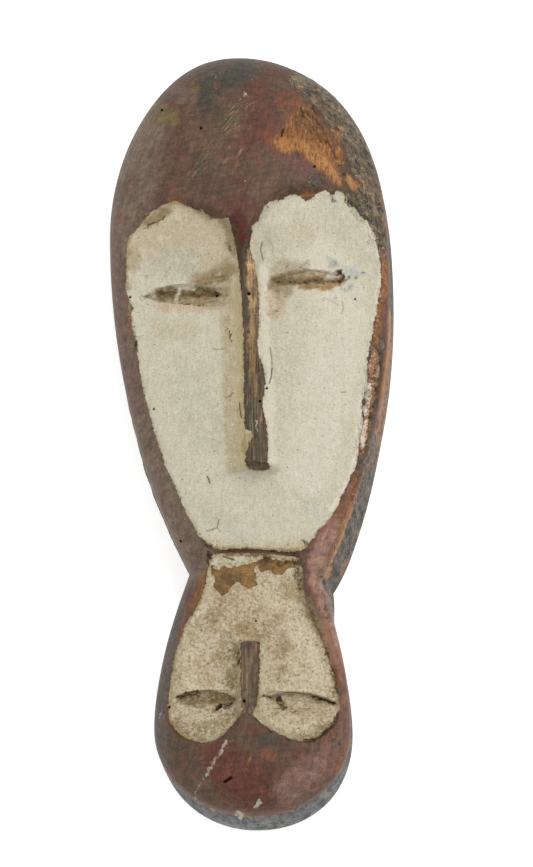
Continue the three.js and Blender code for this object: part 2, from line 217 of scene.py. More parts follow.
def edgeShare(x, y, outline):  # 0 on the middle line, 1 at the edge
    tall, small = carving["tall"], carving["small"]
    right = x >= centreAt(y)
    off = np.abs(x - centreAt(y))
    rise = capRise(y, outline)
    level = np.clip(off / np.maximum(halfWidthAt(y, right, outline), 0.01), 0, 1)
    wide = np.where(y > 0, tall["halfWidth"], small["halfWidth"]) + outline[0](right, y)
    power = np.where(y > 0, tall["crownPower"], small["crownPower"])
    round_ = np.clip(((off / wide) ** power + rise ** power) ** (1 / power), 0, 1)
    return np.where(rise > 0, round_, level)


def domeAt(x, y):
    roll = carving["roll"]
    right = smooth(-roll["blend"], roll["blend"], (x - centreAt(y)) / carving["tall"]["halfWidth"])
    shoulder = mix(along(carving["shoulderLeft"], y), along(carving["shoulderRight"], y), right)
    root = mix(roll["left"], roll["right"], right)
    return mix(shoulder, along(carving["crest"], y), fall(edgeShare(x, y, frontOutline), roll["power"], root))


def curveThrough(points, steps, closed):  # a round line through given points
    pts = [Vector((*p, 0)) for p in points]
    count = len(pts)
    line = []
    for i in range(count if closed else count - 1):
        if closed:
            a, b, c, d = (pts[(i + k) % count] for k in (-1, 0, 1, 2))
        else:
            a, b, c, d = (pts[min(max(i + k, 0), count - 1)] for k in (-1, 0, 1, 2))
        for s in range(steps):
            t = s / steps
            line.append(0.5 * (2 * b + (c - a) * t + (2 * a - 5 * b + 4 * c - d) * t ** 2
                               + (3 * b - a - 3 * c + d) * t ** 3))
    if not closed:
        line.append(pts[-1])
    return np.array([p[:2] for p in line])


def lineDistance(line, x, y):  # the distance to an open line
    nearest = np.full(x.shape, np.inf)
    if len(line) == 1:
        return np.hypot(x - line[0][0], y - line[0][1])
    for a, b in zip(line[:-1], line[1:]):
        run = b - a
        t = np.clip(((x - a[0]) * run[0] + (y - a[1]) * run[1]) / max(run @ run, 1e-9), 0, 1)
        nearest = np.minimum(nearest, np.hypot(x - a[0] - run[0] * t, y - a[1] - run[1] * t))
    return nearest


def insideDistance(line, x, y):  # positive inside a closed line
    ring = np.vstack([line, line[:1]])
    inside = np.zeros(x.shape, bool)
    for a, b in zip(ring[:-1], ring[1:]):
        if a[1] != b[1]:
            crosses = ((a[1] > y) != (b[1] > y)) & (x < a[0] + (y - a[1]) / (b[1] - a[1]) * (b[0] - a[0]))
            inside ^= crosses
    return np.where(inside, 1, -1) * lineDistance(ring, x, y)


tallBorder = curveThrough(tallFace["border"], 5, True)
smallBorder = curveThrough(smallFace["border"], 5, True)


def sinkFace(z, face, border, x, y):
    off = x - centreAt(y)
    drop = np.where(off < 0, face["fallLeft"], face["fallRight"])
    floor = along(face["floor"], y) - drop * (off / face["halfWidth"]) ** 2
    outer = -face["edge"] * face["outside"]
    return mix(z, np.minimum(z, floor), smooth(outer, outer + face["edge"], insideDistance(border, x, y)))


def noseX(nose, y):
    share = np.clip((y - nose["tipY"]) / (nose["rootY"] - nose["tipY"]), 0, 1)
    return mix(nose["tipX"], nose["rootX"], share)


def raiseNose(z, nose, x, y):
    share = np.clip((y - nose["tipY"]) / (nose["rootY"] - nose["tipY"]), 0, 1)
    direction = math.copysign(1, nose["rootY"] - nose["tipY"])
    fromTip = np.maximum(0, (y - nose["tipY"]) * direction)
    flare = nose["flare"] * (1 - smooth(0, nose["flareLength"], fromTip))
    half = mix(nose["tipHalf"], nose["rootHalf"], share) + flare
    off = x - noseX(nose, y)
    slope = np.where(off < 0, nose["leftSlope"], nose["rightSlope"])
    past = np.maximum(0, (nose["tipY"] - y) * direction) + np.maximum(0, (y - nose["rootY"]) * direction)
    side = slope * np.maximum(0, np.abs(off) - half)
    raised = along(nose["ridge"], y) - side - nose["endSlope"] * past
    soft = np.maximum(0, 1 - np.abs(z - raised) / nose["fillet"])
    return np.maximum(z, raised) + soft ** 2 * nose["fillet"] / 4


def eyeLids(eye, x, y):  # how far below the upper lid and above the lower one a point lies
    (x0, y0), (x1, y1) = eye["from"], eye["to"]
    length = math.hypot(x1 - x0, y1 - y0)
    dx, dy = (x1 - x0) / length, (y1 - y0) / length
    run = (x - (x0 + x1) / 2) * dx + (y - (y0 + y1) / 2) * dy
    rise = (y - (y0 + y1) / 2) * dx - (x - (x0 + x1) / 2) * dy
    opening = 1 - np.minimum(1, np.abs(run) / (length / 2)) ** 2
    return eye["above"] * opening - rise, rise + eye["below"] * opening, opening


lid = {
    "upperEdge": 0.5, "lowerEdge": 1.3, "shallow": 0.55, "deep": 1.2,
    "lipWidth": 1.3, "lipTop": 0.1, "lipEnd": 0.2,
}


def cutEye(z, eye, x, y):
    upper, lower, opening = eyeLids(eye, x, y)
    height = np.maximum((eye["above"] + eye["below"]) * opening, 0.01)
    deep = mix(lid["shallow"], lid["deep"], np.clip(lower / height, 0, 1))
    inside = smooth(0, lid["upperEdge"], upper) * smooth(0, lid["lowerEdge"], lower)
    lip = smooth(-lid["lipWidth"], -lid["lipTop"], upper) * smooth(lid["upperEdge"], 0, upper)
    lip = lip * smooth(0, lid["lipEnd"], opening)
    return z - eye["depth"] * deep * inside + eye["lip"] * lip


def frontHeight(x, y):
    dome = domeAt(x, y)
    chinY = chin["y"] - chin["sag"] * (x / chin["halfWidth"]) ** 2
    above = smooth(-chin["edge"], chin["edge"], y - chinY)
    small = sinkFace(dome, smallFace, smallBorder, x, y)
    tall = sinkFace(dome, tallFace, tallBorder, x, y)
    z = mix(small, tall, above)
    for nose in noses.values():
        z = raiseNose(z, nose, x, y)
    for eye in eyes.values():
        z = cutEye(z, eye, x, y)
    return z


def hollowHeight(x, y):
    vault = fall(edgeShare(x, y, hollowOutline), hollow["power"], hollow["vault"])
    return along(hollow["roof"], y) * mix(hollow["wallShare"], 1, vault)


# The block starts as a flat grid from -1 to 1, whose rows run from the tall crown down
block = {
    "columns": 138, "pinch": 0.42,
    "tallCap": 86, "middle": 258, "smallCap": 46,
    "wallRings": 8, "edgeRound": 0.8, "rimRound": 0.5,
    "bowFade": 40, "chinFrom": 4, "chinTo": 16,
    "inward": 0.98,  # a point a little inside the edge shows which way is out
}


def planPoint(u, v, outline):
    tall, small = carving["tall"], carving["small"]
    total = block["tallCap"] + block["middle"] + block["smallCap"]
    row = (1 - v) / 2 * total
    across = u - block["pinch"] * np.sin(2 * np.pi * u) / (2 * np.pi)
    y = mix(tall["widestY"], small["widestY"], (row - block["tallCap"]) / block["middle"])
    share = across
    lastRow = block["tallCap"] + block["middle"]
    for head, end, up in ((tall, tall["crownY"] + outline[1], 1 - row / block["tallCap"]),
                          (small, small["crownY"] - outline[2], (row - lastRow) / block["smallCap"])):
        inCap = up > 0
        up = np.clip(up, 0, 1)
        discX = across * np.sqrt(1 - up ** 2 / 2)
        discY = np.minimum(up * np.sqrt(1 - across ** 2 / 2), 1)
        rise = 1 - (1 - discY) ** (head["crownPower"] / 2)
        chord = np.sqrt(np.maximum(1 - discY ** 2, 1e-12))
        y = np.where(inCap, mix(head["widestY"], end, rise), y)
        share = np.where(inCap, np.clip(discX / chord, -1, 1), share)
    nose = {k: np.where(y > chin["y"], noses["tall"][k], noses["small"][k])
            for k in ("tipX", "rootX", "tipY", "rootY")}
    past = np.maximum(y - noses["tall"]["rootY"], noses["small"]["rootY"] - y)
    near = 1 - smooth(0, block["bowFade"], past)
    near = near * smooth(block["chinFrom"], block["chinTo"], np.abs(y - chin["y"]))
    bow = (noseX(nose, y) - centreAt(y)) * (1 - share ** 2) * near
    x = centreAt(y) + halfWidthAt(y, share >= 0, outline) * share + bow
    return x, y


def readPoints(mesh):
    points = np.empty(len(mesh.vertices) * 3)
    mesh.vertices.foreach_get("co", points)
    return points.reshape(-1, 3)


def writePoints(mesh, points):
    mesh.vertices.foreach_set("co", points.ravel())
    mesh.update()


def noiseOn(points, size, octaves=3):  # soft noise from -1 to 1 over points in millimetres
    return np.array([noise.fractal(Vector(p) / size, 1.0, 2.0, octaves) for p in points])


# Marks on the front, placed by the picture's pixels. Holes are (x, y, radius, darkness), the darkness being
# painted shade inside the hole
beetleHoles = {
    "depth": 2.2,  # millimetres
    "edge": 0.35, "darkEdge": 0.5,  # pixels over which a hole and its colour end
    "spots": [
        (249, 293.5, 1.5, 1.0), (217, 295.5, 1.4, 1.0), (130, 297, 1.1, 0.9), (355, 299, 0.9, 0.9),
        (266.5, 388, 1.2, 1.0), (260, 401, 1.0, 0.4), (244, 701, 1.3, 1.0), (169, 707, 1.1, 1.0),
        (154, 409, 0.9, 0.7), (181, 541, 1.0, 0.8), (256, 621, 0.8, 0.7), (162, 110, 1.0, 0.5),
        (201, 128, 1.0, 0.4), (350.5, 698, 1.1, 1.0), (314.5, 166.5, 1.0, 0.6),
    ],
}

cracks = {
    "width": 0.6, "edge": 0.9, "core": 0.1,  # pixels
    "depth": 0.45,  # millimetres
    "lines": [
        (0.6, [(218.6, 520), (218, 524), (217, 528), (212, 530), (206, 531)]),
        (0.5, [(217, 528), (220, 532)]),
        (0.8, [(207, 476.5), (208.5, 479), (209.5, 483)]),
        (0.9, [(239.5, 403), (240, 410), (241.5, 418)]),
        (0.6, [(270, 348), (271.5, 358), (272, 366)]),
        (0.8, [(272, 368), (271, 378), (269.5, 383)]),
        (0.7, [(262, 243), (260.5, 250), (263, 260)]),
        (0.4, [(269, 241), (273, 247), (272, 254)]),
        (0.5, [(342, 302), (343.5, 308), (341, 314)]),
        (0.45, [(323, 298), (331, 301), (339, 306)]),
        (0.4, [(320, 309), (319, 314), (321, 318)]),
        (0.6, [(341.5, 392.5), (346, 392)]),
        (0.8, [(223, 556.5), (228, 558), (234, 560)]),
        # painted shadow along the flaked crescent at the top of the left lobe, cut as a crack
        (0.3, [(144, 229), (152, 224), (160, 220.5), (167, 217)]),
        (0.5, [(302, 269.5), (315, 271), (327, 273.5)]),
        (0.5, [(213, 349), (219, 350), (224, 348.5)]),
        (0.6, [(226, 397.5), (230, 396.5), (232.5, 393)]),
        (0.5, [(141, 296), (150, 298), (163, 301), (176, 303.5)]),
        (0.45, [(184, 304.5), (205, 303), (220, 300)]),
        (0.4, [(168, 327), (160, 333), (157, 338)]),
        (0.35, [(170, 268), (166, 273), (164, 279)]),
        (0.35, [(190, 263), (194, 268), (192, 273)]),
        (0.4, [(236, 247), (233, 252), (230, 247)]),
        (0.3, [(219, 262), (223, 266)]),
        # the upper lids of the small eyes: cut lines whose dark colour is painted shadow under the lids
        (0.7, [(176, 697.5), (184, 694.2), (198, 691), (213, 690.5)]),
        (0.5, [(213, 690.5), (226, 691), (237, 697)]),
        (0.7, [(277, 691.8), (296, 692.5), (312, 695), (327, 700), (336, 704)]),
        (0.5, [(262, 697), (268, 693), (275, 691)]),
        (0.6, [(237.5, 653), (237, 658), (237.5, 665)]),
        (0.5, [(300, 268), (306, 262), (310, 266)]),
        (0.6, [(295.5, 142), (296, 150), (298, 156)]),
        (0.5, [(288, 128), (287, 133)]),
        (0.5, [(296, 122), (297, 130)]),
        (0.8, [(300, 108), (303, 113)]),
        (0.8, [(306, 111), (310, 117)]),
        (0.8, [(312, 108), (316, 114)]),
        (0.8, [(315, 119), (319, 125)]),
        (0.7, [(321, 126), (326, 134)]),
        (0.7, [(312, 126), (314, 131)]),
        (0.7, [(327, 140), (331, 148)]),
        (0.6, [(318, 136), (320, 142)]),
        (0.7, [(332, 150), (335, 158)]),
    ],
}

dents = {
    "lowerHead": {"line": [(225, 781.5), (231, 777.5)], "width": 1.1, "depth": 1.4},
    "leftEye": {"line": [(216.5, 709), (220.5, 706)], "width": 1.6, "depth": 1.8},
    "rightEye": {"line": [(276.5, 696), (280, 702), (284, 708)], "width": 3.2, "depth": 0.5},
    "forehead": {"line": [(283, 129.5), (281.5, 135.5)], "width": 0.9, "depth": 0.8},
    "rightEdge": {"line": [(313, 139), (311, 140)], "width": 0.6, "depth": 0.6},
}

# How a dent ends either side of its width, in pixels, and how dark the painted shade in the deep ones is
dentEdge = {
    "shape": 0.8, "darkOut": 0.5, "darkIn": 0.9,
    "dark": 0.75, "shaded": ("lowerHead", "leftEye", "forehead"),
}

tallChalk = [
    (228.7, 217.3), (230.6, 224.4), (234.4, 237.8), (236.3, 251), (238.2, 261), (240, 276),
    (241.6, 295), (243.6, 333), (244.2, 380), (244.6, 429), (249, 430), (252, 431.5), (253, 437),
    (250, 445), (246.5, 452), (245, 460), (246.5, 466), (254, 470), (263, 470.5), (270, 468),
    (267, 461.6), (268, 452.4), (268, 442), (267, 432), (266, 425), (264.5, 416.7), (262, 407.5),
    (262.4, 399.4), (264.2, 393), (265.2, 379), (263.6, 368.8), (260, 359.6), (257.4, 352), (257.2, 342),
    (258.8, 330), (258.8, 300), (257.3, 284), (255.5, 271), (253.4, 261), (250.6, 254), (249.4, 246),
    (249.8, 237), (251.2, 226.5), (256.3, 222.7), (261, 214.5), (264.5, 206), (270, 201.5),
    (276, 199.5), (282.9, 199.2), (289, 194.6), (297, 195), (302, 197), (305.3, 201.2),
    (311.4, 198.2), (317.5, 193), (326.7, 189.5), (330, 194), (333, 195), (337, 190), (344, 193.5),
    (347.5, 199), (348, 203.3), (355.3, 208.4), (361.4, 216.5), (366.5, 220.6), (371.6, 227.8),
    (375.7, 237), (376.7, 245), (379.3, 255.3), (380.8, 265.5), (381.2, 287), (378.8, 298),
    (377.6, 307.3), (376, 316.5), (373.4, 325), (373, 333), (370.8, 342), (369.6, 350.4),
    (368, 358.6), (367, 371), (368.3, 379), (366.3, 388), (362.6, 399.4), (362.4, 411.6),
    (363.2, 422), (361.4, 432), (358.9, 447.3), (357.7, 458), (355.3, 469), (350.5, 477),
    (347, 486), (341.6, 496), (338.4, 505.8), (334, 513.4), (329.7, 518.8), (324, 525.3),
    (318.8, 529.7), (315, 537), (309, 544), (305, 550), (289, 552.5), (261.3, 550), (245, 549),
    (230, 550), (216, 550), (209, 547.5), (203, 540.5), (198.4, 535.5), (194, 527.5), (187.6, 516.6),
    (183, 505.8), (179, 497), (175, 487), (165, 466), (157.5, 443), (152, 424), (145.5, 401),
    (141.2, 380), (138.3, 360), (135.5, 343), (132.5, 330), (129.5, 313), (128.5, 299), (125.5, 286),
    (126.2, 262), (126.7, 243.6), (129, 237), (135, 232), (142.5, 221.6), (151, 212), (163.6, 204.4),
    (170, 202.5), (177, 200.5), (182.7, 204.4), (193, 208), (202, 209), (205.7, 213), (213, 217.8),
    (222, 218.7),
]

smallChalk = [
    (213, 553.5), (230, 552.5), (262, 552.8), (288, 555.5), (300, 558), (303, 570), (303.5, 585),
    (307, 604), (312.5, 619), (321, 638), (327.5, 652), (331, 664), (335, 676.5), (337.5, 689.3),
    (339.3, 703), (340, 709), (337.5, 718), (331, 727.8), (322.2, 735.4), (312, 741), (303, 742.6),
    (290.3, 739), (277.6, 733.9), (268.6, 728.8), (258.4, 721.2), (251, 714.5), (256.5, 705),
    (258.6, 690), (259.4, 665), (259.8, 642), (250, 641), (240.8, 642), (241, 660), (241, 690),
    (242, 704), (243, 711), (239.3, 717), (232.9, 725), (224, 735.2), (213.8, 741.2), (201, 743),
    (185.7, 738.6), (175.5, 730), (169.2, 721), (167, 708.4), (168.6, 698), (170.2, 683),
    (173, 663.8), (176, 651), (180.6, 638.3), (184.6, 625.5), (193.4, 612), (201, 597), (206, 582),
    (208.5, 566), (210, 556),
]

stainOutline = [
    (211, 566), (212, 575), (215, 583), (216.9, 590.4), (222.3, 594.6), (227.7, 591.7), (231, 584),
    (237.5, 582.8), (241.8, 585), (248.3, 587.1), (254.8, 588.8), (257.6, 585), (257, 576.3),
    (255, 569), (258, 563), (262, 571), (270, 571.4), (277.6, 574), (284, 571.2), (290, 568.5),
    (296, 567), (298, 562), (280, 559.5), (262, 559), (250, 562), (240, 566), (230, 566), (223, 567.5),
    (218, 572), (215, 569),
]

bareOutline = [
    (288, 108), (300, 104), (310, 108), (318, 118), (325, 128), (331, 142), (334, 156), (338, 170),
    (342, 186), (334, 181), (326, 172), (316, 164), (308, 157), (300, 151), (294, 152), (286, 155),
    (278, 153), (271, 147), (269, 141), (276, 137), (281, 128), (284, 118),
]

# Colours as the picture shows them, in sRGB from 0 to 255
colours = {
    "redBrown": (100, 77, 66), "greyBrown": (117, 102, 89), "mauveBrown": (112, 92, 86),
    "darkGreen": (70, 72, 64), "darkOlive": (84, 77, 62), "olive": (112, 99, 70), "maroon": (98, 63, 54),
    "darkRed": (82, 54, 48), "crimson": (92, 48, 43), "brown": (104, 84, 70), "umber": (92, 78, 66),
    "slate": (98, 95, 91), "plum": (108, 82, 75), "pinkBrown": (136, 100, 88), "pinkPale": (160, 126, 110),
    "rust": (136, 80, 58), "tan": (150, 116, 80), "ridgeTan": (158, 132, 98), "ridgeBrown": (122, 101, 76),
    "ridgeLight": (188, 154, 112), "ridgeGrey": (98, 88, 76), "noseSlate": (68, 73, 63),
    "ochre": (140, 106, 66), "wallDark": (74, 69, 61), "wallSlate": (94, 86, 74),
    "footGrey": (98, 104, 108), "footPale": (126, 128, 126),
    "chalk": (201, 195, 173), "chalkWarm": (190, 177, 149), "chalkPink": (196, 180, 156),
    "chalkPale": (206, 201, 182), "chalkGrey": (186, 182, 162), "flank": (196, 180, 138),
    "fringe": (158, 138, 98), "dirtOlive": (142, 130, 98),
    "smallChalk": (186, 172, 142), "smallPale": (206, 195, 167), "smallBrown": (158, 136, 100),
    "teal": (74, 86, 80), "soil": (146, 127, 97), "soilDark": (98, 84, 63), "soilOrange": (164, 122, 74),
    "soilPink": (192, 168, 140), "chalkBright": (220, 213, 194), "flankBase": (172, 161, 128),
    "bareBase": (146, 102, 68), "honey": (176, 126, 80), "paleWood": (192, 142, 98),
    "barkBrown": (112, 82, 60), "smallRed": (98, 63, 54), "roseBrown": (140, 110, 101),
    "smallOlive": (142, 128, 95), "smallTan": (176, 155, 122), "blueTint": (176, 184, 176),
    "creamPatch": (170, 154, 116),
}

# Strokes are (strength, half width, softness, points), a tone's stroke starts with its colour
tones = {
    "paint": [
        # grey-brown paint down the left band, with painted sheen of the sky where the band turns away
        ("greyBrown", 0.95, 34, 22, [(132, 130), (120, 190), (108, 260), (118, 340),
                                     (140, 430), (172, 510), (186, 550)]),
        ("mauveBrown", 0.6, 8, 8, [(116, 190), (112, 250), (116, 320), (134, 410)]),
        ("umber", 0.7, 18, 16, [(180, 76), (230, 68), (280, 68)]),
        ("darkGreen", 0.9, 13, 16, [(206, 90), (222, 78), (244, 72)]),
        ("darkGreen", 0.5, 9, 10, [(205, 108), (222, 118)]),
        ("brown", 0.8, 16, 14, [(196, 140), (216, 150)]),
        ("mauveBrown", 0.6, 7, 7, [(178, 92), (192, 98)]),
        ("ochre", 0.35, 3, 3, [(193, 87), (195, 97)]),
        ("olive", 0.9, 10, 7, [(156, 113), (168, 116)]),
        ("olive", 0.3, 10, 10, [(232, 118), (226, 126)]),
        ("darkGreen", 0.5, 4, 4, [(187, 153), (203, 162), (192, 176)]),
        ("umber", 0.5, 16, 14, [(200, 186), (228, 190)]),
        ("maroon", 0.7, 13, 16, [(258, 90), (264, 112), (256, 138)]),
        ("maroon", 0.5, 12, 16, [(246, 140), (240, 180)]),
        ("brown", 0.6, 14, 14, [(258, 160), (262, 184)]),
        ("darkRed", 0.5, 6, 6, [(268, 70), (290, 74)]),
        ("rust", 0.5, 7, 8, [(283, 100), (302, 98)]),
        ("rust", 0.6, 6, 6, [(272, 132), (268, 140)]),
        ("plum", 0.8, 10, 9, [(290, 166), (316, 178)]),
        ("slate", 0.55, 5, 5, [(312, 178), (314, 184)]),
        ("slate", 0.45, 4, 4, [(329, 174)]),
        ("umber", 0.5, 8, 8, [(284, 186), (296, 188)]),
        ("darkRed", 0.95, 7, 6, [(238, 216), (242, 240), (243, 258)]),
        ("maroon", 0.6, 7, 6, [(226, 202), (250, 206)]),
        ("crimson", 0.8, 4, 4, [(236, 212), (240, 230), (241, 246)]),
        ("darkOlive", 0.85, 12, 8, [(350, 196), (362, 210), (374, 234)]),
        ("plum", 0.9, 6, 5, [(386, 232), (388, 300), (386, 360)]),
        ("plum", 0.85, 6, 5, [(381, 400), (374, 440), (362, 480)]),
        ("slate", 0.85, 4, 4, [(370, 436), (366, 460)]),
        ("pinkBrown", 0.8, 7, 5, [(357, 486), (340, 520)]),
        ("pinkPale", 0.9, 9, 6, [(332, 526), (322, 552), (317, 578)]),
        ("pinkPale", 0.95, 7, 4, [(317, 582), (327, 616), (338, 660)]),
        ("pinkBrown", 0.6, 5, 4, [(340, 650), (346, 690)]),
        ("pinkBrown", 0.55, 8, 7, [(345, 700), (346, 750)]),
        ("slate", 0.75, 9, 7, [(180, 600), (168, 660), (160, 720), (164, 760)]),
        ("mauveBrown", 0.6, 7, 7, [(200, 560), (190, 600)]),
        ("umber", 0.85, 14, 12, [(176, 752), (190, 776), (204, 796)]),
        ("smallRed", 0.85, 22, 16, [(222, 762), (256, 788)]),
        ("roseBrown", 0.75, 14, 16, [(286, 790), (318, 766)]),
        ("roseBrown", 0.5, 10, 12, [(316, 772), (336, 744)]),
        ("umber", 0.7, 7, 7, [(240, 736), (262, 742), (280, 745)]),
        ("plum", 0.5, 8, 10, [(190, 765), (206, 785)]),
        ("darkGreen", 0.5, 5, 5, [(262, 738), (274, 741)]),
        ("maroon", 0.7, 6, 5, [(246, 727), (254, 730)]),
        ("rust", 0.6, 4, 7, [(264, 752), (271, 757)]),
        ("umber", 0.5, 5, 5, [(226, 742), (236, 738)]),
        ("ridgeTan", 0.95, 8, 3, [(252, 258), (252, 300), (253, 350)]),
        ("ridgeBrown", 0.95, 8, 4, [(254, 352), (255, 400)]),
        ("ridgeGrey", 0.9, 8, 3, [(254, 404), (256, 440), (257, 462)]),
        # painted shade: slate down the left edge of the tall nose ridge, which faces away from the light; the
        # slate on its right side is paint
        ("noseSlate", 0.95, 2.3, 1.8, [(245.2, 246), (245.4, 300), (246, 350), (246.8, 400), (248, 430)]),
        ("noseSlate", 0.75, 3, 2.5, [(251, 438), (250, 458)]),
        ("ridgeLight", 1.0, 3.6, 2.4, [(250.5, 262), (251, 308)]),
        ("tan", 0.6, 1.4, 1.8, [(251.5, 308), (252.5, 350)]),
        ("ochre", 0.7, 1.4, 1.8, [(254.5, 352), (255.5, 392)]),
        ("noseSlate", 0.6, 1.8, 2, [(257.5, 275), (258, 320), (257.5, 342)]),
        ("noseSlate", 0.6, 2, 2.4, [(262, 365), (261, 380), (259, 400)]),
        ("ridgeGrey", 0.95, 9, 3, [(249, 648), (249, 706)]),
        ("ridgeBrown", 0.6, 2, 3, [(245.5, 652), (245.5, 700)]),
        ("ridgeBrown", 0.6, 1.6, 2.4, [(255, 652), (254, 700)]),
        ("smallOlive", 0.6, 3.5, 4, [(308, 600), (317, 622), (325, 642)]),
        ("umber", 0.8, 5, 4, [(248, 712), (249, 720)]),
        ("ochre", 0.6, 3, 4, [(203, 576), (197, 596), (188, 614)]),
    ],
    "wood": [
        ("barkBrown", 0.75, 9, 10, [(296, 110), (306, 121), (321, 132)]),
        ("honey", 0.9, 8, 8, [(284, 146), (302, 148), (320, 164)]),
        ("paleWood", 0.75, 3.5, 4, [(324, 162), (332, 172), (340, 183)]),
        ("paleWood", 0.7, 4, 4, [(347, 178), (355, 187)]),
        ("barkBrown", 0.4, 5, 6, [(380, 304), (372, 375), (364, 450)]),
        ("honey", 0.8, 3, 3, [(391, 312), (388, 395), (372, 474)]),
        ("paleWood", 0.6, 3, 4, [(350, 506), (340, 536), (328, 576)]),
        ("barkBrown", 0.7, 6, 6, [(318, 600), (338, 688)]),
        ("ochre", 0.85, 6, 5, [(127, 298), (131, 320), (136, 342)]),
        ("ochre", 0.6, 4, 4, [(166, 200), (184, 202)]),
    ],
    "wall": [
        ("wallSlate", 0.9, 16, 9, [(372, 480), (356, 520), (336, 570), (330, 600)]),
        ("roseBrown", 0.5, 4, 26, [(338, 625), (346, 660), (351, 700)]),
        ("honey", 0.4, 4, 30, [(392, 330), (388, 395), (379, 455)]),
        ("honey", 0.4, 3, 14, [(391, 345), (388, 395), (383, 430)]),
        ("pinkPale", 0.6, 2, 18, [(326, 594), (329, 606), (333, 626)]),
        ("honey", 0.8, 1.6, 2.5, [(349, 560), (344, 570), (338, 582)]),
        ("darkOlive", 0.8, 3, 4, [(340, 572), (332, 588)]),
        ("footGrey", 1.0, 12, 16, [(164, 786), (186, 806), (216, 820), (252, 824), (290, 820),
                                   (322, 804), (346, 778)]),
        # painted light: the bottom wall paler near its foot, as light comes up from the table
        ("footPale", 0.8, 3.5, 3, [(180, 806), (210, 822), (252, 829), (296, 824), (330, 804)]),
    ],
    "chalk": [
        ("chalkWarm", 0.9, 40, 30, [(170, 232), (210, 238)]),
        ("chalkPink", 0.6, 12, 10, [(196, 244), (216, 250)]),
        ("chalkGrey", 0.5, 14, 12, [(166, 262), (190, 262)]),
        ("dirtOlive", 0.75, 4, 4, [(222, 216), (229, 232), (234, 252)]),
        ("fringe", 0.8, 3, 4, [(128, 240), (127, 262), (127, 286)]),
        ("fringe", 0.5, 5, 5, [(134, 250), (136, 268)]),
        ("fringe", 0.7, 2.5, 3, [(140, 226), (152, 212), (166, 204), (180, 203), (196, 209), (212, 218)]),
        ("dirtOlive", 0.7, 3.5, 3, [(148, 222), (160, 216), (167, 212)]),
        ("chalkPink", 0.5, 5, 4, [(160, 308), (178, 309)]),
        ("chalkWarm", 0.5, 10, 10, [(160, 330), (190, 330)]),
        ("chalkGrey", 0.4, 22, 18, [(186, 380), (204, 430)]),
        # painted light: the right half of the tall face lighter, as the light comes from the right
        ("chalkBright", 0.55, 26, 22, [(300, 226), (338, 300), (330, 380), (306, 470)]),
        # painted shade along the foot of the tall nose's left flank
        ("flankBase", 0.9, 5, 9, [(227, 262), (228, 320), (228, 380), (229, 430), (231, 470)]),
        ("flank", 0.9, 5, 5, [(238, 262), (239, 320), (240, 380), (240.5, 430), (241, 466)]),
        ("soil", 0.85, 8, 9, [(198, 281), (212, 277), (228, 271)]),
        ("soil", 0.85, 6, 4.5, [(158, 294), (190, 292.5), (224, 291)]),
        ("soil", 0.75, 2.6, 3, [(164, 299), (184, 301), (204, 301), (218, 298)]),
        ("soilDark", 0.9, 5, 3, [(160, 293.5), (175, 293.5)]),
        ("soilDark", 0.95, 5.5, 3.5, [(184, 294), (212, 292.5)]),
        ("soilOrange", 0.4, 1.8, 2.5, [(192, 299), (212, 298)]),
        ("soil", 0.7, 3, 4, [(222, 296), (231, 300)]),
        ("soil", 0.55, 3, 5, [(213, 306), (226, 303)]),
        ("soil", 0.6, 1.8, 3, [(148, 298), (166, 301)]),
        ("soil", 0.6, 2, 4, [(188, 303), (204, 305), (222, 301)]),
        ("soilPink", 0.7, 4, 6, [(156, 305), (180, 308), (206, 307)]),
        ("chalk", 0.9, 1.9, 1.8, [(178.5, 285), (179, 301)]),
        ("chalk", 0.9, 2.6, 1.8, [(185, 287), (193, 287.5)]),
        ("soil", 0.5, 7, 9, [(278, 271), (290, 268), (303, 270)]),
        ("soil", 0.75, 4, 5, [(272, 280), (286, 277), (302, 276)]),
        ("soilDark", 0.85, 4.4, 5, [(274, 283), (292, 282), (316, 281)]),
        ("soilDark", 0.9, 2.4, 3, [(312, 281), (344, 280)]),
        ("soilOrange", 0.8, 1.6, 2, [(306, 275.5), (323, 277)]),
        ("soilOrange", 0.95, 2.8, 2.5, [(300, 287.5), (314, 288), (330, 286), (344, 283)]),
        ("soilPink", 0.8, 7, 8, [(271, 290), (277, 302), (271, 314)]),
        ("soil", 0.7, 5, 6, [(271, 288), (287, 291)]),
        ("soil", 0.8, 4, 4, [(149, 224), (159, 216), (169, 211)]),
        ("soil", 0.6, 2.5, 4, [(150, 212), (160, 206)]),
        ("chalkBright", 0.8, 2.4, 3, [(366, 224), (376, 246), (379, 284), (371, 330), (366, 365)]),
        ("chalkBright", 0.85, 3.4, 4, [(361, 400), (359, 440), (350, 474), (335, 510)]),
        ("chalkWarm", 0.6, 4, 4, [(229, 300), (231, 400), (232, 470)]),
        ("creamPatch", 0.95, 4.5, 2, [(248, 436), (247, 452)]),
        # painted highlight down the lit right flank of the tall nose
        ("chalkBright", 1.0, 4.4, 4, [(264, 270), (264, 340), (269, 380), (270, 430), (273, 462)]),
        ("chalkWarm", 0.45, 14, 10, [(276, 240), (300, 236)]),
        ("chalkPink", 0.35, 12, 10, [(300, 220), (340, 230)]),
        ("chalkPale", 0.4, 22, 18, [(330, 340), (316, 400), (300, 470)]),
        ("chalkPink", 0.7, 6, 5, [(270, 296), (278, 310)]),
        ("blueTint", 0.6, 3.5, 4, [(331, 257), (334, 267)]),
        ("blueTint", 0.5, 3, 3, [(348, 271), (362, 274)]),
        ("blueTint", 0.5, 5, 5, [(346, 270), (352, 274)]),
        ("blueTint", 0.35, 6, 6, [(345, 284), (352, 290)]),
        ("blueTint", 0.35, 4, 4, [(333, 198), (336, 204)]),
        ("teal", 0.9, 1.3, 1.8, [(349.5, 277)]),
        ("teal", 0.95, 1.5, 1.8, [(355.5, 279.5)]),
        ("teal", 0.7, 1.6, 2, [(361, 275), (364, 274)]),
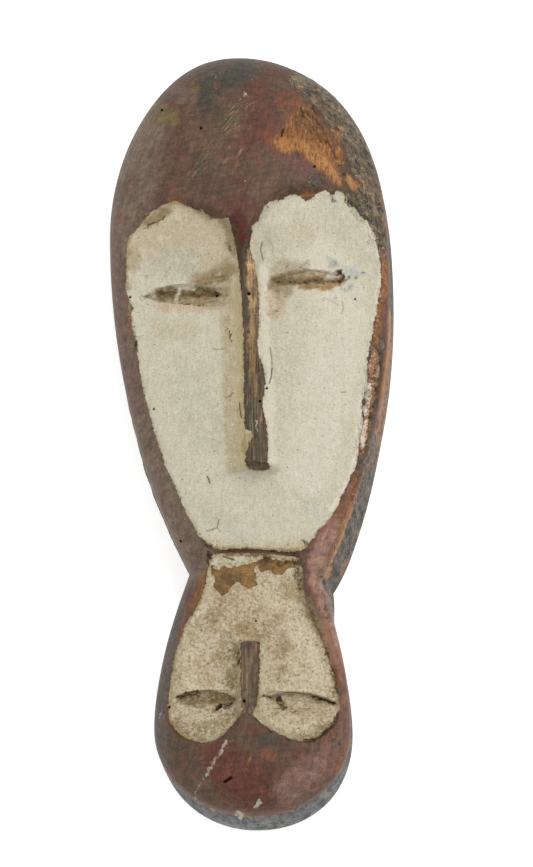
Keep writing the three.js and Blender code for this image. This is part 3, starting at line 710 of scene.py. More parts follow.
        ("teal", 0.5, 1.8, 3, [(334, 261), (336, 265)]),
        ("teal", 0.35, 1.6, 2.5, [(342, 289), (345, 292)]),
        ("teal", 0.4, 1.2, 2.2, [(350, 289), (352, 287)]),
        ("teal", 0.3, 1.4, 2.5, [(329, 266), (332, 267)]),
        ("chalkGrey", 0.35, 10, 10, [(190, 500), (240, 530)]),
        ("blueTint", 0.3, 6, 6, [(312, 505), (316, 515)]),
        ("fringe", 0.5, 1.5, 2, [(134, 345), (142, 385), (156, 440), (182, 506), (200, 538)]),
        ("fringe", 0.6, 1.6, 2, [(206, 547), (240, 548.5), (280, 551), (306, 548)]),
        ("chalkWarm", 0.5, 5, 4, [(186, 514), (196, 532), (212, 544)]),
        ("smallTan", 0.6, 26, 18, [(226, 612), (270, 610)]),
        ("smallPale", 0.8, 12, 7, [(196, 660), (194, 684)]),
        ("smallTan", 0.6, 8, 8, [(202, 664), (206, 684)]),
        ("smallPale", 0.6, 7, 6, [(292, 656), (304, 676)]),
        ("smallPale", 0.8, 8, 7, [(262, 592), (276, 604)]),
        # painted shade down the left side of the small nose
        ("soilDark", 0.5, 5, 7, [(230, 636), (236, 660), (232, 686)]),
        ("smallPale", 0.95, 10, 8, [(300, 626), (308, 652), (318, 684)]),
        ("smallBrown", 0.6, 6, 7, [(284, 584), (296, 604)]),
        ("smallBrown", 0.7, 5, 6, [(276, 650), (284, 676)]),
        ("soil", 0.6, 4, 6, [(222, 600), (214, 622)]),
        ("smallPale", 0.7, 10, 8, [(290, 610), (304, 648), (312, 684)]),
        ("smallPale", 0.5, 8, 7, [(276, 684), (294, 682)]),
        ("smallBrown", 0.6, 5, 5, [(214, 630), (222, 648), (218, 664)]),
        # painted shade down the left side of the small nose
        ("smallOlive", 0.85, 6, 6, [(232, 650), (232, 684)]),
        ("smallBrown", 0.65, 7, 6, [(238, 628), (264, 630)]),
        ("smallBrown", 0.8, 4, 4, [(202, 574), (196, 598), (186, 622)]),
        ("smallPale", 0.85, 4, 3, [(206, 606), (192, 620)]),
        ("smallBrown", 0.6, 5, 5, [(300, 580), (312, 610), (328, 650)]),
        ("smallBrown", 0.6, 4, 4, [(334, 676), (336, 704)]),
        ("smallBrown", 0.5, 5, 5, [(282, 640), (286, 650)]),
        # painted highlight down the lit right side of the small nose
        ("smallPale", 0.9, 3.2, 2.4, [(264, 650), (264.5, 700)]),
        ("smallPale", 0.9, 3, 3, [(262, 704), (268, 712)]),
        # painted highlights along the upper lids of the small eyes
        ("smallPale", 0.8, 2, 1.6, [(184, 692.5), (198, 689), (214, 688.5), (228, 689)]),
        ("smallPale", 0.9, 2, 1.6, [(278, 689), (296, 690), (313, 692), (328, 697.5)]),
        ("smallOlive", 0.95, 6, 3, [(184, 699), (205, 700), (226, 700)]),
        ("soilDark", 0.4, 5, 4, [(188, 700), (206, 702), (222, 702)]),
        ("smallOlive", 0.7, 6, 5, [(178, 722), (188, 732), (200, 736)]),
        ("smallOlive", 0.6, 5, 5, [(226, 716), (236, 712)]),
        ("smallOlive", 0.6, 7, 6, [(186, 716), (204, 728), (220, 730)]),
        ("smallPale", 0.7, 3, 3, [(184, 712), (200, 720), (214, 720)]),
        ("smallPale", 0.85, 4.5, 4, [(272, 720), (294, 728), (312, 726)]),
        ("smallOlive", 0.7, 4, 4, [(296, 737), (312, 736), (326, 726)]),
        ("smallBrown", 0.5, 4, 4, [(300, 712), (322, 712)]),
    ],
}

marks = {
    "bare": [
        (0.75, 3, 4, [(336, 132), (339, 148), (341, 163)]),
        (0.85, 4, 4, [(346, 177), (355, 187)]),
        (0.85, 3.2, 3, [(384, 262), (385.5, 280), (384.5, 298)]),
        (0.75, 4, 4, [(380, 304), (378, 322), (376, 342)]),
        (0.45, 5, 6, [(375, 352), (372, 375), (369, 400), (366, 425), (362, 448)]),
        (0.95, 3.2, 3, [(391, 312), (389, 350), (384.5, 392), (380, 425), (375, 455), (371, 476)]),
        (0.5, 1.4, 2.5, [(380, 188), (385, 215), (388, 240)]),
        (0.6, 3.4, 5, [(357, 478), (350, 506)]),
        (0.75, 3.2, 5, [(349, 508), (340, 536), (331, 562), (326, 582)]),
        (0.6, 1.6, 3, [(364, 470), (357, 492), (350, 520)]),
        (0.45, 1.8, 3, [(344, 499), (333, 521), (320, 534), (311, 548)]),
        (0.4, 2.4, 4.5, [(311, 586), (319, 608), (327, 632), (333, 654), (338, 688)]),
        (0.4, 3, 3, [(328, 628), (331, 642)]),
        (0.35, 4, 5, [(203, 580), (198, 596), (192, 608)]),
        (0.45, 1.4, 3, [(188, 620), (180, 646), (173, 680)]),
        (0.5, 1.6, 3, [(169, 700), (168, 718), (174, 730)]),
        (0.65, 3.0, 3.5, [(128.5, 300), (131, 320), (135, 338)]),
        (0.4, 1.2, 2.5, [(137, 350), (141, 380), (147, 405)]),
        (0.6, 2.6, 3, [(168, 200.5), (184, 202)]),
        (0.6, 3, 3, [(303, 195.5), (312, 194.5)]),
        (0.55, 1.5, 2.5, [(251, 754), (249.5, 763)]),
        (0.6, 1.0, 1.6, [(201.6, 770.4)]),
        (0.4, 6, 8, [(344, 748), (338, 770)]),
        (0.4, 4, 5, [(322, 742), (334, 732)]),
        (0.5, 1.2, 2.2, [(199, 804), (213, 810), (240, 814), (262, 814.5), (284, 810), (300, 805)]),
        (0.6, 1.6, 3, [(349, 556), (344, 570), (339, 582)]),
        (0.45, 3, 4, [(256, 258), (261, 252)]),
    ],
    # dirt lines, and painted shade where a line follows a shadow beside or under a carved edge
    "grimeAndShade": [
        # painted shade down the left edge of the tall nose ridge, to its lower end
        (0.5, 1.4, 2, [(244.8, 258), (245.5, 300), (246.2, 360), (246.8, 424)]),
        (0.55, 1.6, 2.5, [(250, 444), (249.5, 461)]),
        # painted shade down both sides of the V where the tall nose meets the forehead
        (0.75, 1.4, 2, [(234, 232), (238, 246), (241, 260)]),
        (0.8, 1.6, 1.8, [(250, 228), (247.8, 244), (246, 262)]),
        # painted shadow under the tip of the tall nose
        (0.85, 1.5, 1.8, [(247, 462.5), (258, 463), (267, 462.5)]),
        (0.45, 3, 4, [(251, 440), (262, 452)]),
        # dark line under the tall chin's step: dirt and painted shadow
        (0.9, 0.6, 1.1, [(207, 553), (218, 551.5), (230, 550.6), (245, 549.6), (262, 550.6), (278, 552),
                         (290, 554), (300, 552.5), (308, 550.5)]),
        (0.75, 1.8, 2.5, [(209, 553), (208, 562), (211, 570)]),
        (0.6, 2.4, 3, [(201, 541), (207, 546), (215, 548)]),
        (0.75, 2.4, 3, [(304, 541.5), (308, 544)]),
        (0.3, 5, 7, [(300, 558), (298, 572), (302, 586)]),
        (0.6, 4, 6, [(264, 560), (280, 562), (292, 562)]),
        # along the small face's right border: grime and painted shadow cast by the raised band
        (0.2, 2.2, 4, [(303, 580), (308, 600), (316, 622), (324, 640), (331, 660)]),
        (0.2, 2.0, 2.5, [(318, 617), (321, 627)]),
        (0.7, 1.5, 2, [(327, 648), (331, 664), (334, 678), (337, 692)]),
        (0.7, 0.9, 1.4, [(302, 110), (306, 118)]),
        (0.7, 0.9, 1.4, [(311, 114), (315, 123)]),
        (0.7, 0.9, 1.4, [(318, 124), (323, 134)]),
        (0.6, 0.9, 1.4, [(309, 124), (312, 132)]),
        (0.6, 0.9, 1.4, [(324, 138), (328, 148)]),
        (0.5, 0.9, 1.4, [(298, 120), (300, 128)]),
        (0.6, 1.2, 2.4, [(167.5, 716), (172, 728), (181, 737.5), (192, 743), (204, 744.5),
                         (215, 742.5), (225, 735)]),
        (0.65, 1.2, 2.4, [(243, 716), (251, 716.5), (260, 723.5), (270, 731), (279, 736),
                          (292, 741), (303, 744.5)]),
        (0.85, 1.8, 2.5, [(300, 742), (313, 740), (323, 733), (332, 724), (338, 714)]),
        # painted shadow on the top end of the small nose, which faces away from the light
        (0.75, 1.5, 1.8, [(241, 644), (258, 644)]),
        (0.55, 1.0, 1.4, [(243, 650), (243, 700)]),
        (0.45, 1.0, 1.6, [(257.8, 646), (257, 672), (255, 700)]),
        (0.7, 1.3, 2, [(238, 652), (238, 666)]),
        (0.6, 1.9, 2.2, [(382, 354), (381, 378), (378, 394), (374, 410), (371.5, 424), (367.5, 442)]),
        (0.6, 1.5, 2, [(367, 448), (364, 466), (359, 480)]),
        (0.55, 1.4, 2, [(367.5, 413), (368.5, 419)]),
        # painted shadow along the crescent where raised chalk flakes at the top of the left lobe
        (0.6, 1.2, 2, [(144, 228.5), (152, 223.5), (160, 220), (166.5, 216)]),
        (0.7, 1.5, 1.8, [(275.7, 200)]),
        (0.55, 1.8, 2.2, [(266, 206)]),
        (0.7, 1.5, 1.8, [(331.5, 196), (333.5, 201)]),
        (0.6, 1.2, 2, [(343, 197), (349, 205)]),
        (0.6, 1.3, 2, [(189, 206), (197, 208), (205, 212), (213, 217)]),
        (0.7, 2, 3, [(342, 166), (344, 182), (347, 192)]),
        (0.5, 1.4, 2, [(336, 120), (342, 128)]),
        (0.5, 3, 5, [(316, 96), (324, 108)]),
        (0.5, 1.8, 2.5, [(129, 300), (133, 325), (136, 342)]),
        (0.7, 1.0, 1.6, [(136, 342), (137.5, 352)]),
        # painted shade along the foot of the tall nose's left flank
        (0.6, 0.9, 1.6, [(232, 316), (231, 330), (234, 343)]),
        (0.5, 1.2, 2, [(229, 243), (231, 250)]),
        (0.5, 1.6, 2.5, [(214, 291), (222, 293)]),
        (0.85, 2.0, 2.4, [(339.5, 272.5), (344, 275), (345, 280), (339, 282)]),
        (0.5, 1.4, 2.4, [(276, 283), (296, 282), (318, 281), (338, 281)]),
        (0.5, 1.0, 1.6, [(324, 272.5), (329, 273.5)]),
        (0.45, 2.5, 3, [(184, 294), (198, 295), (210, 294)]),
        (0.45, 2.5, 3, [(161, 294), (174, 294)]),
        (0.45, 1.0, 1.8, [(181, 303), (190, 304), (206, 303.5), (216, 301)]),
        (0.4, 1.2, 2, [(212, 286), (222, 287)]),
        (0.7, 1.4, 1.8, [(223, 706), (232, 705.5)]),
        (0.55, 2.4, 2.2, [(277, 697), (280, 702), (284, 708)]),
        (0.6, 1.0, 1.5, [(262, 698), (270, 697.5)]),
        # painted shadow under the upper lids of the small eyes
        (0.7, 1.4, 2, [(312, 697), (324, 701), (334, 704)]),
        (0.55, 1.2, 1.8, [(178, 697), (188, 695), (200, 692.5)]),
        (0.45, 1.2, 2, [(186, 703), (204, 709), (222, 711)]),
        (0.4, 1.2, 2, [(276, 708), (290, 711), (310, 708)]),
        (0.7, 1.6, 2, [(323, 578), (325.5, 590)]),
        (0.6, 1.0, 1.8, [(168, 781), (181.5, 792), (199, 804.5), (227, 811.6), (250, 814), (268, 814.4),
                         (290.5, 808.5), (308, 802)]),
        (0.5, 0.8, 1.4, [(287, 803), (290, 799.5), (296, 799), (299.5, 802)]),
        (0.7, 1.2, 1.6, [(294, 811)]),
        (0.7, 1.4, 2, [(340, 796), (332, 806)]),
        (0.45, 1.2, 2, [(302, 815), (276, 820), (262, 821)]),
    ],
    # dirt rubbed into the chalk, and painted shade beside the noses and under the tall nose's tip
    "smudgeAndShade": [
        (0.9, 5, 4, [(161, 294), (170, 293), (176, 295)]),
        (0.9, 5, 4, [(183, 294.5), (196, 294), (212, 293.5)]),
        (0.5, 2.2, 3, [(164, 299), (184, 301), (204, 301), (218, 298)]),
        (0.5, 1.2, 2, [(141, 296), (148, 299), (158, 301)]),
        (0.6, 2, 3, [(208, 297), (222, 297), (228, 297)]),
        (0.65, 5, 7, [(200, 283), (214, 279), (227, 275)]),
        (0.4, 4, 6, [(215, 268), (226, 262)]),
        (0.5, 2, 3, [(186, 303), (202, 304.5), (219, 302)]),
        (0.45, 2.5, 4, [(222, 305), (218, 309)]),
        (0.45, 2.5, 3, [(229, 316), (230, 335)]),
        (0.8, 3.8, 4.5, [(273, 283), (290, 281.5), (306, 281), (320, 281)]),
        (1.0, 2.0, 2.5, [(298, 281), (320, 281.5), (342, 280)]),
        (0.4, 5, 7, [(280, 270), (290, 272), (302, 271)]),
        (0.5, 6, 7, [(274, 290), (280, 298)]),
        (0.95, 2.6, 2.4, [(341, 273.5), (344.5, 278)]),
        (0.35, 7, 8, [(274, 304), (272, 312)]),
        (0.6, 1.0, 1.6, [(302, 269.5), (315, 271), (327, 273.5)]),
        (0.6, 1.8, 2.5, [(300, 287), (320, 286.5), (342, 284)]),
        (0.45, 1.5, 2, [(308, 259), (310, 265)]),
        (0.5, 1.2, 1.8, [(362, 274), (366, 274.5)]),
        (0.6, 1.0, 1.4, [(348, 278)]),
        (0.5, 1.0, 1.4, [(355, 279.5)]),
        (0.35, 1.0, 1.6, [(344, 289), (350, 288)]),
        (0.3, 3, 5, [(136, 250), (138, 262)]),
        (0.3, 2, 4, [(155, 209), (166, 213)]),
        (0.4, 2, 3, [(226, 236), (231, 252)]),
        # painted shade along the foot of the tall nose's left flank
        (0.3, 2, 4, [(231, 330), (231, 380), (232, 425)]),
        (0.4, 2, 3, [(237, 403), (239, 418)]),
        (0.35, 1.8, 3, [(235, 449), (239, 455)]),
        # painted shade on the brown underside of the tall nose's tip, which faces away from the light
        (0.7, 2.2, 2.5, [(248, 467.5), (262, 469), (269, 467)]),
        (0.45, 1.0, 1.6, [(262, 472.5)]),
        (0.5, 3, 4, [(203, 541), (213, 547), (222, 549)]),
        (0.35, 2, 4, [(288, 545), (300, 548)]),
        (0.35, 2, 4, [(183, 505), (190, 520), (199, 534)]),
        (0.3, 1.5, 3, [(150, 424), (165, 462)]),
        (0.75, 3, 4, [(226, 555), (250, 555), (275, 556)]),
        (0.9, 4, 4, [(262, 561), (280, 562), (300, 562)]),
        (0.55, 5, 6, [(300, 574), (305, 592), (313, 612)]),
        (0.6, 1.4, 1.8, [(269, 590.5)]),
        (0.55, 1.4, 1.8, [(273, 595)]),
        (0.5, 2.4, 2.5, [(190, 637), (194, 641)]),
        (0.55, 5, 6, [(200, 580), (196, 600), (190, 612)]),
        # painted shade down the left side of the small nose
        (0.5, 4, 6, [(236, 652), (234, 672), (237, 690)]),
        (0.35, 8, 8, [(244, 630), (262, 634)]),
        (0.35, 4, 5, [(282, 640), (292, 648)]),
        (0.45, 3, 4, [(325, 660), (331, 680)]),
        (0.7, 4, 4, [(188, 699), (205, 701), (222, 703), (232, 703)]),
        (0.2, 4, 4, [(272, 701), (290, 701), (306, 701)]),
        (0.65, 2, 3, [(306, 700), (322, 702.5), (333, 703.5)]),
        (0.8, 2.8, 2, [(277, 697), (280, 702), (284, 708)]),
        (0.5, 1.5, 2, [(264, 697), (272, 696)]),
        (0.5, 3, 5, [(174, 722), (186, 733), (202, 738)]),
        (0.5, 3, 5, [(222, 726), (238, 712)]),
        (0.45, 3, 4, [(300, 737), (316, 733), (330, 718)]),
        (0.4, 2, 3, [(172, 660), (169, 690)]),
        (0.5, 3, 4, [(216, 706), (236, 704)]),
        (0.35, 2, 3, [(268, 712), (280, 715)]),
    ],
    "clean": [
        (1.0, 2.1, 1.6, [(178.5, 285), (179, 300)]),
        (1.0, 2.6, 1.6, [(185, 287), (192, 287.5)]),
        (0.8, 1.2, 1.4, [(301, 288), (303, 290)]),
        (0.8, 1.6, 2, [(311, 272), (324, 275), (335, 277)]),
    ],
    "white": [
        (0.75, 1.8, 2.8, [(227.5, 742), (223.5, 748), (220, 754)]),
        (0.6, 1.6, 2.6, [(218, 757), (212, 764)]),
        (0.75, 2.0, 3, [(210, 767), (205.5, 776)]),
        (0.5, 1.3, 2.4, [(203, 780), (199, 787)]),
        (0.65, 1.3, 2, [(196.5, 790), (193.5, 797)]),
        (0.9, 2.4, 2, [(254.5, 804), (260, 801)]),
        (0.75, 1.8, 2, [(236, 815), (244, 815.5), (240, 820)]),
        (0.9, 0.9, 0.9, [(216, 87)]),
        (0.7, 1.3, 1.6, [(244.5, 92), (246, 95)]),
        (0.9, 0.8, 0.9, [(244, 184)]),
        (0.6, 0.8, 0.9, [(262, 149)]),
        (0.8, 1.0, 1.4, [(255.3, 422), (256.3, 431)]),
        (0.7, 0.8, 1.1, [(252, 215.5)]),
        (0.9, 3.4, 2, [(215.5, 560), (214.5, 563)]),
        (0.65, 2.2, 2.5, [(233, 560), (243, 559)]),
        (0.6, 1.2, 1.5, [(168, 492)]),
        (0.6, 1.2, 1.5, [(171, 500)]),
        (0.75, 1.2, 1.5, [(188.5, 628), (187, 631)]),
        (0.7, 1.2, 1.3, [(289.5, 559.5)]),
        (0.8, 2.8, 3.5, [(365, 422), (363, 446)]),
        (0.9, 3.6, 4, [(368, 386), (366, 412)]),
        (0.6, 1.6, 2.5, [(379, 364), (378, 376)]),
        (0.5, 1.2, 2, [(161, 712), (159, 722)]),
        (0.5, 1.4, 2, [(348, 462), (346, 474)]),
    ],
    "rough": [
        (1.0, 14, 9, [(302, 80), (324, 100), (344, 124), (358, 150), (368, 180), (377, 214), (384, 236)]),
        (0.85, 8, 6, [(377, 345), (374, 372), (370, 400), (366, 430), (361, 455)]),
        (0.5, 6, 8, [(334, 738), (344, 752)]),
        (0.5, 9, 8, [(320, 180), (306, 186)]),
        (0.7, 7, 6, [(350, 196), (364, 216)]),
        (0.55, 5, 6, [(368, 462), (352, 506), (338, 545), (327, 580), (330, 620)]),
        (0.4, 8, 7, [(300, 562), (304, 590), (314, 614)]),
    ],
    "scratch": [
        (1.0, 9, 9, [(246, 104), (234, 118), (226, 128)]),
        (0.7, 7, 8, [(206, 162), (190, 174)]),
        (0.6, 6, 6, [(212, 78), (222, 74)]),
        (0.5, 14, 10, [(214, 140), (232, 156)]),
        (0.4, 10, 10, [(272, 176), (256, 186)]),
    ],
    "covered": [
        (0.55, 6, 10, [(290, 105), (284, 120), (275, 133)]),
        (0.35, 6, 8, [(304, 106), (318, 122)]),
        (0.45, 4, 8, [(268, 142), (276, 152), (288, 157)]),
    ],
    "crust": [
        (0.7, 3.5, 4, [(378, 318), (375, 345)]),
        (1.0, 4.8, 4, [(374, 352), (373, 380), (370, 404), (367, 426), (364, 442)]),
        (0.5, 3.5, 4, [(383, 246), (384.5, 280), (383.5, 304)]),
        (0.3, 3, 4, [(357, 466), (350, 486), (340, 508)]),
        (0.5, 2, 3, [(370, 224), (378, 246)]),
        (0.45, 3, 4, [(304, 560), (312, 594), (324, 630), (334, 664)]),
    ],
    "streak": [
        (1.0, 9, 3, [(251, 262), (252, 340), (255, 400), (256, 464)]),
        (0.8, 10, 3, [(249, 646), (249, 706)]),
    ],
}


def strokeField(strokes, px, py):
    field = np.zeros(px.shape)
    for strength, half, soft, points in strokes:
        line = curveThrough(points, 3, False) if len(points) > 2 else np.array(points, float)
        away = lineDistance(line, px, py)
        field = np.maximum(field, strength * smooth(half + soft / 2, max(half - soft / 2, -0.5), away))
    return field


# Modelling the block
def deselectAll():
    bpy.ops.object.select_all(action="DESELECT")


def makeActive(piece):
    deselectAll()
    piece.select_set(True)
    bpy.context.view_layer.objects.active = piece


def selectFaces(mesh, chosen):
    bpy.ops.object.mode_set(mode="OBJECT")
    mesh.vertices.foreach_set("select", np.zeros(len(mesh.vertices), bool))
    mesh.edges.foreach_set("select", np.zeros(len(mesh.edges), bool))
    mesh.polygons.foreach_set("select", chosen)
    bpy.ops.object.mode_set(mode="EDIT")


def selectOpenEdges(mesh):
    bpy.ops.mesh.select_mode(type="EDGE")
    bpy.ops.mesh.select_all(action="DESELECT")
    shell = bmesh.from_edit_mesh(mesh)
    for edge in shell.edges:
        edge.select = edge.is_boundary
    shell.select_flush_mode()
    bmesh.update_edit_mesh(mesh)


def faceCentres(mesh):
    centres = np.empty(len(mesh.polygons) * 3)
    mesh.polygons.foreach_get("center", centres)
    return centres.reshape(-1, 3)


def photoOfRaw(raw):
    x, y = planPoint(raw[:, 0], raw[:, 1], frontOutline)
    return toPhoto(np.stack([x, y, frontHeight(x, y)], 1))


def markDistance(px, py):  # pixels to the nearest hole or crack
    nearest = np.full(px.shape, np.inf)
    for x, y, radius, _ in beetleHoles["spots"]:
        nearest = np.minimum(nearest, np.hypot(px - x, py - y) - radius)
    for line in [line for _, line in cracks["lines"]] + [dent["line"] for dent in dents.values()]:
        nearest = np.minimum(nearest, lineDistance(np.array(line, float), px, py) - 1)
    return nearest


refine = {"border": 1.2, "mark": 2.4, "markClose": 1.6}  # pixels

deselectAll()
bpy.ops.mesh.primitive_grid_add(x_subdivisions=block["columns"], size=2,
                                y_subdivisions=block["tallCap"] + block["middle"] + block["smallCap"])
mask = bpy.context.active_object
mask.name = "carvedMask"
raw = faceCentres(mask.data)
px, py = photoOfRaw(raw)
paintGap = np.minimum(np.abs(insideDistance(np.array(tallChalk), px, py)),
                      np.abs(insideDistance(np.array(smallChalk), px, py)))
selectFaces(mask.data, (paintGap < refine["border"]) | (markDistance(px, py) < refine["mark"]))
bpy.ops.mesh.subdivide(number_cuts=1)
bpy.ops.object.mode_set(mode="OBJECT")
px, py = photoOfRaw(faceCentres(mask.data))
selectFaces(mask.data, markDistance(px, py) < refine["markClose"])
bpy.ops.mesh.subdivide(number_cuts=1)
bpy.ops.object.mode_set(mode="OBJECT")
print("front grid", len(mask.data.polygons), "faces")

# The wall and the rim's edge: the grid's edge drops one step for each ring
bpy.ops.object.mode_set(mode="EDIT")
selectOpenEdges(mask.data)
for ring in range(block["wallRings"] + 1):
    bpy.ops.mesh.extrude_edges_move(TRANSFORM_OT_translate={"value": (0, 0, -1)})
bpy.ops.object.mode_set(mode="OBJECT")


def chalkInside(px, py):
    return np.maximum(insideDistance(np.array(tallChalk), px, py),
                      insideDistance(np.array(smallChalk), px, py))


def crackField(px, py):
    field = np.zeros(px.shape)
    for strength, line in cracks["lines"]:
        away = lineDistance(np.array(line, float), px, py)
        near = smooth(cracks["width"] + cracks["edge"], cracks["core"], away)
        field = np.maximum(field, strength * near)
    return field


# The low relief: heights or depths, and the length of their waves, in millimetres
skin = {
    "chalk": 0.16,
    "chalkRagged": 1.2, "chalkWave": 1.3,  # how far the chalk's border wanders is in pixels
    "knife": 0.16, "knifeWave": 9.0,
    "knifeHidden": 0.6,  # the share of a knife mark that chalk fills
    "lump": 0.05, "lumpWave": 2.4, "chalkLump": 0.05, "chalkLumpWave": 1.1,
    "rough": 0.25, "roughWave": 1.6,
    "bare": 0.10, "bareUneven": 0.12, "bareWave": 1.2,
    "wallDent": 0.3, "wallWave": 4.5,
    "wallBump": 0.6,  # a bump's height as a share of a dent's depth
}


def relief(x, y, z, px, py):  # what the knife, the paint and the years left on the front
    points = np.stack([x, y, z], 1)
    ragged = skin["chalkRagged"] * noiseOn(points, skin["chalkWave"], 2)
    onChalk = smooth(-1.0, 1.0, chalkInside(px, py) + ragged)
    knife = skin["knife"] * noiseOn(points * (1, 0.5, 1), skin["knifeWave"])
    knife = knife * (1 - skin["knifeHidden"] * onChalk)
    lumps = skin["lump"] * noiseOn(points, skin["lumpWave"], 2)
    lumps = lumps + onChalk * skin["chalkLump"] * noiseOn(points + 11, skin["chalkLumpWave"], 2)
    rough = strokeField(marks["rough"], px, py) * skin["rough"] * noiseOn(points + 31, skin["roughWave"], 3)
    uneven = skin["bareUneven"] * noiseOn(points * (1, 0.3, 1) + 57, skin["bareWave"], 2)
    bare = strokeField(marks["bare"], px, py) * (skin["bare"] + uneven)
    z = z + skin["chalk"] * onChalk + knife + lumps + rough - bare - cracks["depth"] * crackField(px, py)
    soft = beetleHoles["edge"]
    for spotX, spotY, radius, _ in beetleHoles["spots"]:
        away = np.hypot(px - spotX, py - spotY)
        z = z - beetleHoles["depth"] * smooth(radius + soft, radius - soft, away)
    soft = dentEdge["shape"]
    for dent in dents.values():
        away = lineDistance(np.array(dent["line"], float), px, py)
        z = z - dent["depth"] * smooth(dent["width"] + soft, dent["width"] - soft, away)
    return z


def shapeBlock(piece):
    raw = readPoints(piece.data)
    u, v, ring = raw[:, 0], raw[:, 1], np.rint(-raw[:, 2])
    edgeX, edgeY = planPoint(u, v, frontOutline)
    footX, footY = planPoint(u, v, rimOutline)
    inX, inY = planPoint(u * block["inward"], v * block["inward"], frontOutline)
    out = np.stack([edgeX - inX, edgeY - inY], 1)
    out /= np.maximum(np.linalg.norm(out, axis=1), 1e-6)[:, None]
    z = frontHeight(edgeX, edgeY)
    front = ring == 0
    px, py = toPhoto(np.stack([edgeX, edgeY, z], 1))
    zFine = z.copy()
    zFine[front] = relief(edgeX[front], edgeY[front], z[front], px[front], py[front])
    reach = np.where(edgeY > 0, carving["tall"]["halfWidth"], carving["small"]["halfWidth"])
    gap = (1 - edgeShare(edgeX, edgeY, frontOutline)) * reach
    near = np.clip(1 - gap / block["edgeRound"], 0, 1)
    drop = block["edgeRound"] * (1 - np.sqrt(1 - near ** 2))
    share = np.clip(ring / block["wallRings"], 0, 1)
    x, y = mix(edgeX, footX, share), mix(edgeY, footY, share)
    top = z - block["edgeRound"]
    wallZ = mix(top, block["rimRound"], share)
    swell = carving["wallSwell"] * np.sin(np.pi * share)
    points = np.stack([x, y, wallZ], 1)
    wall = ~front
    dent = np.zeros(len(x))
    uneven = np.clip(noiseOn(points[wall] * (1, 1, 0.45), skin["wallWave"], 3), -1, skin["wallBump"])
    dent[wall] = skin["wallDent"] * uneven * np.sin(np.pi * share[wall])
    x, y = x + out[:, 0] * (swell + dent), y + out[:, 1] * (swell + dent)
    last = ring > block["wallRings"]
    x = np.where(last, footX - out[:, 0] * block["rimRound"], x)
    y = np.where(last, footY - out[:, 1] * block["rimRound"], y)
    finalZ = np.where(front, zFine - drop, np.where(last, 0.0, wallZ))
    writePoints(piece.data, np.stack([x, y, finalZ], 1) * mm)
    return px, py, ring


px, py, ring = shapeBlock(mask)
print("block shaped")

# The hollow: a second grid pushed up into a vault, with the scoops of a gouge
deselectAll()
bpy.ops.mesh.primitive_grid_add(x_subdivisions=hollow["columns"], y_subdivisions=hollow["rows"], size=2)
trough = bpy.context.active_object
trough.name = "gougedHollow"


def shapeHollow(piece):
    raw = readPoints(piece.data)
    u, v = raw[:, 0], raw[:, 1]
    s = np.maximum(np.maximum(np.abs(u), np.abs(v)), 1e-6)
    band = np.clip((s - (1 - hollow["band"])) / hollow["band"], 0, 1)
    inner = np.minimum(s / (1 - hollow["band"]), 1) * hollow["inner"]
    scale = np.where(band > 0, mix(hollow["inner"], 1, band), inner) / s
    x, y = planPoint(u * scale, v * scale, hollowOutline)
    z = hollowHeight(x, y) * (1 - band ** 2)
    pick = np.random.default_rng(hollow["seed"])
    seeds = kdtree.KDTree(hollow["gouges"])
    wide, tall = hollow["gougeArea"]
    for i in range(hollow["gouges"]):
        seeds.insert((pick.uniform(-wide, wide), pick.uniform(-tall, tall) / hollow["gougeStretch"], 0), i)
    seeds.balance()
    scoop = np.array([seeds.find((a, b / hollow["gougeStretch"], 0))[2] for a, b in zip(x, y)])
    depth = hollow["gougeDepth"] * np.clip(1 - (scoop / (hollow["gougeWidth"] / 2)) ** 2, -1, 1)
    z = z - depth * (1 - band) * smooth(*hollow["gougeFade"], 1 - s)
    z = np.where(band >= 1, 0.0, z)
    writePoints(piece.data, np.stack([x, y, z], 1) * mm)


shapeHollow(trough)
bpy.ops.object.mode_set(mode="EDIT")
bpy.ops.mesh.select_all(action="SELECT")
bpy.ops.mesh.flip_normals()
bpy.ops.object.mode_set(mode="OBJECT")
blockPoints = len(mask.data.vertices)
makeActive(mask)
trough.select_set(True)
bpy.ops.object.join()
bpy.ops.object.mode_set(mode="EDIT")
selectOpenEdges(mask.data)
bpy.ops.mesh.bridge_edge_loops()
bpy.ops.mesh.select_mode(type="FACE")
bpy.ops.mesh.select_all(action="SELECT")
bpy.ops.mesh.normals_make_consistent(inside=False)
bpy.ops.object.mode_set(mode="OBJECT")
triangles = sum(len(face.vertices) - 2 for face in mask.data.polygons)
print("hollow joined", len(mask.data.polygons), "faces", triangles, "triangles")


# Painting: fields stored on the points, which the materials break up with noise
light = {"front": 1.05, "sheen": 0.022}  # the studio's light on the front, and the gloss it adds


def srgb(colour):
    c = np.array(colour, float) / 255
    return np.where(c <= 0.04045, c / 12.92, ((c + 0.055) / 1.055) ** 2.4)


def seen(colour):  # the surface colour that shows as this one in the picture
    return np.clip((srgb(colour) - light["sheen"]) / light["front"], 0.004, 1)


def storeField(mesh, name, values):
    mesh.attributes.new(name, "FLOAT", "POINT").data.foreach_set("value", values.astype(np.float32))


def storeColour(mesh, name, values):
    rgba = np.concatenate([values, np.ones((len(values), 1))], 1).astype(np.float32)
    mesh.attributes.new(name, "FLOAT_COLOR", "POINT").data.foreach_set("color", rgba.ravel())


def strokeColours(start, strokes, x, y):
    tone = start
    for name, *stroke in strokes:
        cover = strokeField([tuple(stroke)], x, y)[:, None]
        tone = tone + (seen(colours[name]) - tone) * cover
    return tone


ragged = {"fine": 2.2, "broad": 3.0, "fade": 0.45}  # pixels that a mark's edge wanders, and how it fades
headJoin = (-34, -42)  # millimetres, from the tall head's finish to the small one's
fieldReach = 20  # pixels, the farthest distance from a border that is kept


